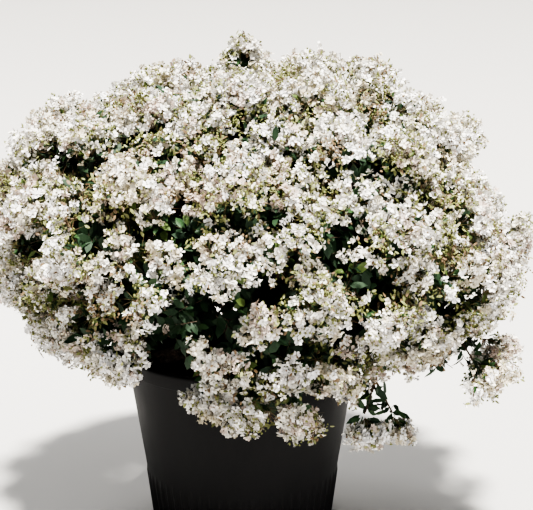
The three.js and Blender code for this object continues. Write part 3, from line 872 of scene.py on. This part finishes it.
def make_stool(rng, finish):
    """The short stem at the soil: it flares at its foot, leans a little and swells where it forks."""
    rings, sides = 44, 72
    share = np.linspace(0, 1, rings)
    stations = ((0, 0.1, 0.2, 0.55, 0.85, 0.95, 1), (0.072, 0.062, 0.055, 0.050, 0.057, 0.053, 0.044))
    radius = np.interp(share, *stations)
    height = FILL_LEVEL + 0.0005 + STOOL_HEIGHT * 0.997 * share
    path = np.stack([STOOL_LEAN * share, 0 * share, height], axis=1)
    angle = np.arange(sides) * FULL_TURN / sides
    buttress = (1 - share)[:, None] ** 1.5 * 0.10 * np.cos(4 * angle)
    folds = share[:, None] ** 2 * 0.07 * np.cos(6 * angle + 0.4)
    relief = bark_relief(rng, 1, rings, sides, 0.022) + (buttress + folds)[None]
    body = tubes(path[None], radius[None], sides, np.array([[1.0, 0, 0]]), relief)
    make_piece("rootstock_bark", [body], finish, ["trunk"])


def curve_to(foot, mass):
    tip = mass.start - mass.way * 0.0003
    return foot, tip - mass.way * 0.45 * norm(tip - foot), tip


def lay_wood():
    """The curves of the limbs, and the masses and curves of the side boughs, by the rule of their solids."""
    fork = np.array([STOOL_LEAN, 0, FILL_LEVEL + STOOL_HEIGHT - 0.015])
    limbs = []
    for mass in masses[:LIMBS]:
        ring = 0 if mass.tier == "top" else 0.036
        limbs.append(curve_to(heading(mass.azimuth) * ring + fork, mass))
    boughs, forks = [], [0] * LIMBS
    low_first = [mass for mass in masses if mass.tier in ("low", "skirt")][::-1]
    for mass in low_first + [mass for mass in masses if mass.tier == "shoulder"]:
        turn = [abs(wrapped(parent.azimuth - mass.azimuth)) for parent in masses[1:LIMBS]]
        limb = 1 + int(np.argmin(np.round(turn, 6)))
        along = 0.14 + forks[limb] * 0.09
        forks[limb] += 1
        boughs.append((mass, curve_to(on_curve(*limbs[limb], along), mass)))
    return limbs, boughs


def plane_across(feet, bends, tips):
    normal = np.cross(bends - feet, tips - feet)
    flat = norm(normal, axis=1, keepdims=True) < 1e-6
    return unit(np.where(flat, np.cross(tips - feet, np.array([0.0, 1.0, 0.1])), normal))


def make_wood(rng, finish):
    """The bark of the limbs and of the side boughs, which swell at their feet."""
    limbs, boughs = lay_wood()
    rings, sides = 48, 14
    share = np.linspace(0, 1, rings)
    limb_nodes = [f"limb_{number + 1}" for number in range(LIMBS)]
    bough_nodes = [f"bough_{mass.name}" for mass, _ in boughs]
    for name, curves, wide, narrow, nodes in (
        ("main_limbs_bark", limbs, 0.0150, 0.0080, limb_nodes),
        ("side_boughs_bark", [curve for _, curve in boughs], 0.0100, 0.0070, bough_nodes),
    ):
        ends = [np.array(each) for each in zip(*curves)]
        radii = wide + (narrow - wide) * share + 0.35 * wide * np.exp(-share / 0.05)
        relief = bark_relief(rng, len(curves), rings, sides, 0.045)
        skins = tubes(bent(*ends, rings), radii[None], sides, plane_across(*ends), relief)
        make_piece(name, [skins], finish, nodes)


def make_twigs(rng, finish):
    """The stem of each mass, and a bent twig from it to every blossom head."""
    rings, sides = 12, 10
    paths = bent(mass_starts, (mass_starts + mass_ends) / 2, mass_ends, rings)
    relief = bark_relief(rng, len(masses), rings, sides, 0.05)
    stems = tapered(paths, 0.0072, 0.0042, sides, relief)
    feet = np.empty_like(head_bases)
    for index, mass in enumerate(masses):
        own = np.flatnonzero(head_mass == index)
        line = mass.end - mass.start
        share = (head_bases[own] - mass.start) @ line / (line @ line)
        away = norm(head_bases[own] - mass.start - np.clip(share, 0, 1)[:, None] * line, axis=1)
        for rank, head in enumerate(own[np.argsort(-away)]):
            feet[head] = mass.start + line * (0.1 + 0.85 * (rank + 0.5) / len(own))
    span = norm(head_bases - feet, axis=1, keepdims=True)
    sag = (mass_ways[head_mass] - head_ways) * 0.16 * span
    bends = strayed(rng, (feet + head_bases) / 2 + sag, 0.005)
    paths = bent(feet, bends, head_bases, 9)
    twigs = tapered(paths, 0.0036, 0.0024, 6)
    make_piece("crown_stems", [stems, twigs], finish)
    return paths


# Blossom.


def patchy(points, size, turn):
    """A soft random number for each point that hardly changes over a distance of size."""
    shift = Vector((turn, 0, 0))
    return np.array([noise.noise(Vector(point) / size + shift) for point in points])


def swung(first, second, angle):
    """Two coordinates after a turn in their plane."""
    cosine, sine = math.cos(angle), math.sin(angle)
    return first * cosine - second * sine, first * sine + second * cosine


def flower_shape(rng):
    """Six crinkled petals on narrow claws, each lifted and twisted in its own way."""
    corners, faces = [], []
    for petal in range(6):
        turn = FULL_TURN * (petal + rng.uniform(-0.25, 0.25)) / 6
        lift = rng.uniform(-0.25, 0.90)
        twist = rng.uniform(-0.6, 0.6)
        wide = rng.uniform(0.0036, 0.0050)
        crinkle = rng.uniform(-0.0016, 0.0016, 4)
        first = len(corners)
        for along, flat, thick in (
            (0.0012, 0.0, 0.0),
            (0.0070, -wide, crinkle[0]),
            (rng.uniform(0.0104, 0.0126), -0.50 * wide, crinkle[1]),
            (rng.uniform(0.0104, 0.0126), 0.55 * wide, crinkle[2]),
            (0.0073, wide, crinkle[3]),
        ):
            across, height = swung(flat, thick, twist)
            x, z = swung(along, height, lift)
            corners.append((*swung(x, across, turn), z))
        faces += [(first, first + step, first + step + 1) for step in (1, 2, 3)]
    return np.array(corners), np.array(faces)


def tuft_shape():
    """The bunch of stamens in the middle of a flower."""
    corners = [(-0.0016, 0, 0.0004), (0.0016, 0, 0.0004), (0.0004, 0.0004, 0.0058)]
    corners += [(0, -0.0016, 0.0004), (0, 0.0016, 0.0004), (-0.0004, 0, 0.0052)]
    return np.array(corners), np.array([(0, 1, 2), (3, 4, 5)])


def bud_shape():
    corners = [(0.0034, 0, 0), (-0.0017, 0.0029, 0), (-0.0017, -0.0029, 0), (0, 0, -0.0038), (0, 0, 0.0042)]
    faces = [(0, 1, 4), (1, 2, 4), (2, 0, 4), (1, 0, 3), (2, 1, 3), (0, 2, 3)]
    return np.array(corners), np.array(faces)


def spans(points, middles):
    """The distance from every point to every middle."""
    square = (points**2).sum(axis=1)[:, None] + (middles**2).sum(axis=1)[None] - 2 * points @ middles.T
    return np.sqrt(np.maximum(square, 0))


def in_gaps(points, radii):
    """Which points lie nearer to the middle of a gap's ball than its radius here."""
    return (spans(points, gap_middles) < radii).any(axis=1)


def out_of_place(points, heads, slack, crevice):
    """Which points lie nearer to another head than to their own, in a crevice or in a gap."""
    far = spans(points, head_middles)
    own = far[np.arange(len(points)), heads]
    far[np.arange(len(points)), heads] = np.inf
    crowded = own - far.min(axis=1) > slack
    far[head_clusters[heads][:, None] == head_clusters[None]] = np.inf
    crowded |= own - far.min(axis=1) > -crevice
    return crowded | in_gaps(points, gap_radii)


def round_points(count, lowest, rng):
    """Points spread evenly over the part of a ball above a level, in a fresh turn for each call."""
    level = 1 - (1 - lowest) * (np.arange(count) + 0.5) / count
    turn = np.arange(count) * EVEN_TURN + rng.random() * FULL_TURN
    spread = np.sqrt(1 - level**2)
    return np.stack([spread * np.cos(turn), spread * np.sin(turn), level], axis=1)


def framed(frames, points):
    """Sets of points, each set in a frame of its own."""
    return np.einsum("nij,nkj->nki", frames, points)


def bud_share_painted_shade(middles, heads):
    """How far out and how low each panicle sits in its cluster, where most buds go: their olive there is
    painted shade.
    """
    away = middles - cluster_middles[head_clusters[heads]]
    rim = norm(away, axis=1) / 0.13
    share = 0.30 * (np.clip(rim, 0, 1.3) ** 2 - 0.45) - 0.20 * np.clip(away[:, 2] / 0.10, -1, 1)
    return share - np.where(middles[:, 2] < 0.66, 0.22, 0.0)


def draw_panicles(rng):
    """The panicles of every head: one in the middle and some that lean out round it."""
    for head, base in enumerate(head_bases):
        turned = turned_frames(rng, head_ways[head][None])[0]
        puff = rng.uniform(0.86, 1.06) * head_puff[head]
        full = min(puff, 1)
        ring = int(rng.integers(6, 8))
        for index in range(ring + 1):
            turn = FULL_TURN * (index + rng.uniform(-0.3, 0.3)) / ring
            out = PANICLE_STAND * puff * rng.uniform(0.80, 1.12)
            place = np.array([out * math.cos(turn), out * math.sin(turn), rng.uniform(0.040, 0.068)])
            lean = strayed(rng, np.array([0.8 * math.cos(turn), 0.8 * math.sin(turn), 0.75]), 0.12)
            length = PANICLE_LENGTH
            if index == ring:
                place = UP * rng.uniform(0.062, 0.074)
                lean = strayed(rng, UP, 0.10)
                length = MIDDLE_PANICLE_LENGTH
            wide = PANICLE_WIDTH * rng.uniform(0.80, 1.16) * full
            reach = (wide, wide, length * rng.uniform(0.80, 1.16) * full)
            root = base + head_ways[head] * 0.012
            yield head, base + turned @ place, unit(turned @ lean), reach, root


def lay_panicles(rng):
    """The panicles that have room, and the ends of their side stalks, where their clumps of flowers sit."""
    laid = [np.array(each) for each in zip(*draw_panicles(rng))]
    heads, middles = laid[:2]
    low_down = np.clip((DOME_MIDDLE[2] + 0.25 - middles[:, 2]) / 0.40, 0, 1)
    stays = patchy(middles, 0.11, 3.3) > -0.64 + 0.26 * low_down
    stays &= ~out_of_place(middles, heads, 0.014, 0.004)
    heads, middles, ways, reach, roots = chosen(stays, *laid)
    turned = turned_frames(rng, ways)
    # Panicles in bud gather at the rim and underside of each cluster, where their olive is painted shade.
    in_bud = bud_share_painted_shade(middles, heads) + patchy(middles, 0.072, 7.7) > 0.20
    spots = strayed(rng, np.stack([round_points(CLUMPS, -0.42, rng) for _ in heads]), 0.11)
    stand = rng.uniform(0.82, 1.13, (*spots.shape[:2], 1))
    clumps = middles[:, None] + framed(turned, spots * stand * reach[:, None])
    return Panicles(heads, middles, ways, reach, roots, turned, in_bud, clumps, framed(turned, spots))


def make_blossom(rng):
    """Flowers in clumps over every panicle, in six whites, and the gold stamens in their middles."""
    panicles = lay_panicles(rng)
    clumps, clump_ways = panicles.clumps, panicles.clump_ways
    apart = (len(panicles.heads), CLUMPS, CLUMP_FLOWERS, 3)
    places = rows(clumps[:, :, None] + rng.normal(size=apart) * FLOWER_SPREAD)
    faces_way = unit(rows(clump_ways[:, :, None] + rng.normal(size=apart) * 0.38))
    owners = np.repeat(np.arange(apart[0]), CLUMPS * CLUMP_FLOWERS)
    own_heads = panicles.heads[owners]
    width = 0.018 + 0.030 * np.clip(patchy(rows(clumps), 0.16, 21.3) + 0.15, -0.2, 0.5)
    width *= 1 - 0.85 * np.clip((rows(clumps)[:, 2] - 0.92) / 0.26, 0, 1)
    keep = ~out_of_place(places, own_heads, 0.012, np.repeat(width, CLUMP_FLOWERS))
    keep &= ~panicles.in_bud[owners] | (rng.random(len(owners)) < OPEN_IN_BUD)
    keep &= np.sum((places - head_bases[own_heads]) * head_ways[own_heads], axis=1) > FLOWER_START
    facing = np.repeat(rows(clump_ways), CLUMP_FLOWERS, axis=0)
    outward = np.sum(facing * unit(places - DOME_MIDDLE), axis=1)
    keep &= (outward > -0.15) | (places[:, 2] < 0.60)
    places, faces_way, owners = chosen(keep, places, faces_way, owners)
    total = len(places)

    shares = [share for _, share, _, _ in PETALS]
    kind_of_panicle = rng.choice(len(PETALS), len(panicles.heads), p=shares)
    stray = rng.random(total) < 0.35
    kinds = np.where(stray, rng.choice(len(PETALS), total, p=shares), kind_of_panicle[owners])
    shapes = [flower_shape(rng) for _ in range(10)]
    frames = turned_frames(rng, faces_way)
    sizes = rng.uniform(0.78, 1.14, total)
    picks = rng.integers(0, len(shapes), total)
    for index, (shade, _, light, dark) in enumerate(PETALS):
        own = kinds == index
        parts = strewn_kinds(shapes, *chosen(own, picks, places, frames, sizes))
        make_piece(f"petals_{shade}", parts, petal_finish(f"petal_{shade}", light, dark), smooth=False)
    gold = petal_finish("stamen_gold", (0.50, 0.38, 0.12), (0.34, 0.24, 0.07))
    open_wide = rng.random(total) < 0.40
    tufts = strewn(tuft_shape(), *chosen(open_wide, places, frames, sizes))
    make_piece("stamens", [tufts], gold)
    make_buds(rng, panicles)
    make_bracts(rng, panicles)
    make_stalks(panicles)
    return panicles


def make_buds(rng, panicles):
    """Round buds: one by each clump, many on panicles still in bud, and a close tuft at the tip of some."""
    in_bud, heads = panicles.in_bud, panicles.heads
    numbers = np.where(in_bud, 4, 1)
    first = rows(np.repeat(panicles.clumps + panicles.clump_ways * 0.005, numbers, axis=0))
    first_owner = np.repeat(np.repeat(np.arange(len(heads)), numbers), CLUMPS)
    first = strayed(rng, first, 0.0070)
    picked = in_bud[first_owner] | (rng.random(len(first)) < 0.60)
    first, first_owner = chosen(picked, first, first_owner)

    tufted = np.flatnonzero(rng.random(len(heads)) < 0.42)
    tuft = np.stack([round_points(TUFT_BUDS, 0.55, rng) for _ in tufted])
    tuft = tuft * rng.uniform(0.92, 1.14, tuft.shape[:2])[..., None] * panicles.reach[tufted][:, None]
    second = rows(panicles.middles[tufted][:, None] + framed(panicles.turned[tufted], tuft))
    second = strayed(rng, second, 0.0020)

    places = np.concatenate([first, second])
    owners = np.concatenate([first_owner, np.repeat(tufted, TUFT_BUDS)])
    keep = ~out_of_place(places, heads[owners], 0.012, 0.012)
    places, owners = chosen(keep, places, owners)
    russet = (patchy(panicles.middles, 0.09, 15.1) > 0.27)[owners]
    frames = turned_frames(rng, unit(rng.normal(size=places.shape) * 0.5 + UP), 6)
    sizes = rng.uniform(0.75, 1.40, len(places))
    for name, own, light, dark in (
        ("olive", ~russet, (0.25, 0.26, 0.095), (0.125, 0.145, 0.048)),
        ("russet", russet, (0.28, 0.20, 0.11), (0.14, 0.09, 0.05)),
    ):
        buds = strewn(bud_shape(), *chosen(own, places, frames, sizes))
        make_piece(f"buds_{name}", [buds], leaf_finish(f"bud_{name}", light, dark, 0.45))


def spikes(feet, tips, width):
    """Thin three-sided stalks that come to a point."""
    ways = unit(tips - feet)
    side = across_of(ways)
    other = np.cross(ways, side)
    ring = np.stack([side, 0.87 * other - 0.5 * side, -0.87 * other - 0.5 * side], axis=1) * width
    corners = np.concatenate([feet[:, None] + ring, tips[:, None]], axis=1)
    return rows(corners), repeated(np.array([(0, 1, 3), (1, 2, 3), (2, 0, 3)]), len(feet), 4)


def make_stalks(panicles):
    """The axis of each panicle, and the short side stalks that carry its clumps."""
    middles, ways, roots, clumps = panicles.middles, panicles.ways, panicles.roots, panicles.clumps
    lengths = panicles.reach[:, 2:]
    tips = middles + ways * lengths * 0.85
    bends = roots + (tips - roots) * 0.45 + ways * 0.006
    axes = tapered(bent(roots, bends, tips, 3), 0.0017, 0.0009, 3)
    starts = np.broadcast_to((middles - ways * lengths * 0.35)[:, None], clumps.shape)
    stalks = spikes(rows(starts), rows(clumps), 0.0010)
    finish = twig_finish("panicle_stalk_green", (0.16, 0.19, 0.06), (0.16, 0.09, 0.05))
    make_piece("panicle_stalks", [axes, stalks], finish)


# Leaves.


def leaf_shape(curl, fold):
    """A pointed oval blade, folded a little along its midrib."""
    stations = [(0.0, 0.0, 0), (0.30, 0.20, 0.02), (0.68, 0.21, -curl * 0.45), (1.0, 0.0, -curl)]
    corners = [(along, 0.0, drop) for along, _, drop in stations]
    for side in (1, -1):
        corners += [(along, side * wide, drop + fold) for along, wide, drop in stations[1:3]]
    faces = [(0, 1, 4), (1, 5, 4), (1, 2, 5), (2, 3, 5), (0, 6, 1), (1, 6, 7), (1, 7, 2), (2, 7, 3)]
    return np.array(corners), np.array(faces)


def inner_leaf_shape(curl):
    """A plainer oval blade for the leaves deep in the crown."""
    corners = [(0, 0, 0), (0.32, 0.22, 0.02), (0.70, 0.20, -0.3 * curl), (1, 0, -curl)]
    corners += [(0.70, -0.20, -0.3 * curl), (0.32, -0.22, 0.02)]
    return np.array(corners), np.array([(0, 5, 1), (1, 5, 4), (1, 4, 2), (2, 4, 3)])


def make_shoots(rng, finish):
    """Fine leafy shoots from the stems of the masses, whose ends lie evenly a little under the blossom."""
    tips = []
    for index in range(SHOOTS):
        azimuth = index * EVEN_DEGREES + rng.uniform(-4, 4)
        latitude = drawn_latitude((index + 0.5) / SHOOTS, UPPER_SHOOTS, LOWEST_SHOOT)
        tips.append(dome_point(wrapped(azimuth), latitude, rng.uniform(0.62, 0.87)))
    for azimuth, latitude, _ in GAPS:
        for _ in range(GAP_SHOOTS):
            around = (azimuth + rng.uniform(-10, 10), latitude + rng.uniform(-10, 10))
            tips.append(dome_point(*around, rng.uniform(0.35, 0.82)))
    # Low ones over the far rim, where the floor would else show through the gaps in front.
    for _ in range(RIM_SHOOTS):
        over_rim = heading(rng.uniform(50, 135)) * rng.uniform(0.28, 0.43)
        tips.append(over_rim + UP * rng.uniform(0.535, 0.605))
    tips = np.array(tips)
    nearest = np.argmin(spans(tips, mass_middles[:-1]), axis=1)
    starts, ends = mass_starts[nearest], mass_ends[nearest]
    feet = starts + (ends - starts) * rng.uniform(0.05, 0.98, (len(tips), 1))
    bends = strayed(rng, (feet + tips) / 2 + (ends - starts) * 0.25, 0.012)
    shoots = tapered(bent(feet, bends, tips, 5), 0.0019, 0.0010, 3)
    make_piece("leafy_shoots", [shoots], finish)
    return feet, bends, tips


def make_leaf_piece(rng, name, shapes, laid, own, light, dark, gloss):
    """A piece from some of the leaves laid: where they sit, the ways they point and their lengths."""
    places, points, length = chosen(own, *laid)
    out = unit(places - DOME_MIDDLE * np.array([1, 1, 0.8]))
    face = unit(strayed(rng, out + UP * 0.5, 0.35))
    across = unit(np.cross(face, points))
    frames = np.stack([points, across, np.cross(points, across)], axis=2)
    picks = rng.integers(0, len(shapes), len(places))
    parts = strewn_kinds(shapes, picks, places, frames, length)
    make_piece(f"leaves_{name}", parts, leaf_finish(f"leaf_{name}", light, dark, gloss))


def make_bracts(rng, panicles):
    """Small olive and brown bracts and calyces: a few between the flowers, many on panicles still in bud."""
    numbers = np.repeat(np.where(panicles.in_bud, 3, 1), CLUMPS)
    places = np.repeat(rows(panicles.clumps), numbers, axis=0)
    ways = np.repeat(rows(panicles.clump_ways), numbers, axis=0)
    in_bud = np.repeat(np.repeat(panicles.in_bud, CLUMPS), numbers)
    places = strayed(rng, places + ways * 0.003, 0.006)
    points = unit(strayed(rng, ways, 0.8))
    length = rng.uniform(0.010, 0.018, len(places))
    keep = ~in_gaps(places, gap_radii) & (in_bud | (rng.random(len(places)) < 0.45))
    laid = chosen(keep, places, points, length)
    brown = rng.random(len(laid[0])) < 0.30
    shapes = [inner_leaf_shape(0.2), inner_leaf_shape(-0.1)]
    for name, own, light, dark in (
        ("bract", ~brown, (0.250, 0.260, 0.105), (0.130, 0.140, 0.055)),
        ("calyx", brown, (0.230, 0.160, 0.090), (0.110, 0.070, 0.040)),
    ):
        make_leaf_piece(rng, name, shapes, laid, own, light, dark, 0.45)


def lay_outer_leaves(rng, panicles):
    """A collar of leaves under each head, and a few leaves that peep out between its panicles."""
    laid = []
    for base, way in zip(head_bases, head_ways):
        turned = turned_frames(rng, way[None], 6.28)[0]
        for index in range(COLLAR_LEAVES):
            angle = index * EVEN_TURN + rng.uniform(-0.3, 0.3)
            out = turned @ np.array([math.cos(angle), math.sin(angle), rng.uniform(0.05, 0.80)])
            laid.append((base + way * rng.uniform(-0.045, 0.045) + out * 0.012, out, 1.0))
    for middle, way, root in zip(panicles.middles, panicles.ways, panicles.roots):
        for _ in range(PEEPING_LEAVES):
            place = root + (middle - root) * rng.uniform(0.2, 0.85)
            laid.append((place, strayed(rng, way, 0.42), PEEPING_LENGTH))
    places, points, share = (np.array(each) for each in zip(*laid))
    return places, unit(points), rng.uniform(*OUTER_LENGTHS, len(places)) * share


def lay_inner_leaves(rng, shoots, twig_paths):
    """Leaves all along the leafy shoots, the twigs and the stem of the lowest tuft."""
    feet, bends, tips = (each[:, None] for each in shoots)
    on_shoots = on_curve(feet, bends, tips, rng.uniform(0.35, 1.0, (len(tips), SHOOT_LEAVES, 1)))
    shoot_points = rng.normal(size=on_shoots.shape) + unit(tips - DOME_MIDDLE) * 0.25
    picks = rng.integers(2, twig_paths.shape[1], (len(twig_paths), TWIG_LEAVES))
    on_twigs = np.take_along_axis(twig_paths, picks[..., None], axis=1)
    twig_points = rng.normal(size=on_twigs.shape) + unit(twig_paths[:, -1] - twig_paths[:, 0])[:, None] * 0.5
    low = masses[-1]
    on_low = low.start + (low.end - low.start) * rng.random((LOW_LEAVES, 1))
    low_points = rng.normal(size=on_low.shape)
    places = np.concatenate([rows(on_shoots), rows(on_twigs), on_low])
    points = unit(np.concatenate([rows(shoot_points), rows(twig_points), low_points]))
    return places, points, rng.uniform(*INNER_LENGTHS, len(places))


def clear_of_gaps(laid, radii):
    """Which of the leaves laid have their tips outside the gaps."""
    places, points, length = laid
    return ~in_gaps(places + points * length[:, None], radii)


def make_leaves(rng, shoots, twig_paths, panicles):
    """The outer leaves in three greens, and the shaded leaves inside the crown in a dark green that is
    painted shade.
    """
    laid = lay_outer_leaves(rng, panicles)
    keep = clear_of_gaps(laid, gap_radii * 0.75)
    laid = chosen(keep, *laid)
    bright = rng.random(len(laid[0]))
    shapes = [leaf_shape(0.12, 0.05), leaf_shape(0.28, 0.08), leaf_shape(-0.05, 0.03), leaf_shape(0.20, 0.02)]
    for name, least, most, *finish in (
        ("deep", 0.0, 0.40, (0.024, 0.056, 0.024), (0.011, 0.029, 0.014), 0.48),
        ("green", 0.40, 0.82, (0.048, 0.105, 0.036), (0.024, 0.062, 0.024), 0.44),
        ("fresh", 0.82, 1.0, (0.140, 0.200, 0.060), (0.070, 0.125, 0.038), 0.42),
    ):
        make_leaf_piece(rng, name, shapes, laid, (bright >= least) & (bright < most), *finish)

    laid = lay_inner_leaves(rng, shoots, twig_paths)
    keep = clear_of_gaps(laid, np.where(gap_depths < LEAFY_DEPTH, gap_radii * 0.60, 0))
    shapes = [inner_leaf_shape(0.10), inner_leaf_shape(0.25), inner_leaf_shape(-0.06)]
    # The inner leaves all take the darkest green: painted shade.
    make_leaf_piece(rng, "shaded", shapes, laid, keep, (0.024, 0.054, 0.022), (0.011, 0.028, 0.013), 0.55)


# The stage.


def select_edges(piece, wanted):
    """Selects only the edges whose corners both answer a test, in edit mode."""
    bpy.ops.mesh.select_all(action="DESELECT")
    for edge in bmesh.from_edit_mesh(piece.data).edges:
        edge.select = all(wanted(vertex.co) for vertex in edge.verts)
    bmesh.update_edit_mesh(piece.data)


def make_stage():
    """A plain floor that sweeps up into a wall behind."""
    deselect_all()
    bpy.ops.mesh.primitive_plane_add(size=FLOOR_SIZE, location=(0, 0, -0.0005))
    floor = bpy.context.object
    floor.name = "studio_floor"
    back = FLOOR_SIZE / 2 - 0.1
    bpy.ops.object.mode_set(mode="EDIT")
    bpy.ops.mesh.select_mode(type="EDGE")
    select_edges(floor, lambda place: place.y > back)
    bpy.ops.mesh.extrude_region_move(TRANSFORM_OT_translate={"value": (0, 0, WALL_HEIGHT)})
    select_edges(floor, lambda place: place.y > back and place.z < 0.1)
    bpy.ops.mesh.bevel(offset=SWEEP_RADIUS, segments=12)
    bpy.ops.object.mode_set(mode="OBJECT")
    bpy.ops.object.transform_apply(location=True, rotation=True, scale=True)
    bpy.ops.object.shade_smooth()
    floor.data.materials.append(coat(new_material("pale_studio_floor"), (0.44, 0.43, 0.415), 0.9))
    floor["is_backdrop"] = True


def add_light(kind, name, place, way, power, colour):
    bpy.ops.object.light_add(type=kind, location=place, rotation=way.to_track_quat("Z", "Y").to_euler())
    lamp = bpy.context.object
    lamp.name = name
    lamp.data.energy = power
    lamp.data.color = colour
    return lamp.data


def make_light():
    key = Vector(KEY_WAY)
    add_light("SUN", "key_light", key * 6, key, KEY_POWER, KEY_COLOUR).angle = math.radians(KEY_SOFTNESS)
    for name, place, aim, size, power, colour in SOFTBOXES:
        lamp = add_light("AREA", name, place, Vector(place) - Vector(aim), power, colour)
        lamp.shape = "DISK"
        lamp.size = size
    world = bpy.data.worlds.new("studio_air")
    world.use_nodes = True
    air = world.node_tree.nodes["Background"].inputs
    air["Color"].default_value = AIR_COLOUR
    air["Strength"].default_value = AIR_STRENGTH
    bpy.context.scene.world = world
    bpy.context.scene.view_settings.view_transform = "AgX"
    bpy.context.scene.view_settings.look = "AgX - High Contrast"


make_stage()
make_light()
make_pot()
make_bed()
make_chips(np.random.default_rng(5))
bark = bark_finish()
make_stool(np.random.default_rng(7), bark)
make_wood(np.random.default_rng(8), bark)
young_wood = twig_finish("young_wood", (0.120, 0.080, 0.050), (0.060, 0.038, 0.025))
twig_paths = make_twigs(np.random.default_rng(9), young_wood)
shoots = make_shoots(np.random.default_rng(10), young_wood)
panicles = make_blossom(np.random.default_rng(12))
make_leaves(np.random.default_rng(13), shoots, twig_paths, panicles)

deselect_all()
drawn_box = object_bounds()
boxes = {"cad": packed_box, "visual": drawn_box}
{name: [list(map(float, corner)) for corner in box] for name, box in boxes.items()}
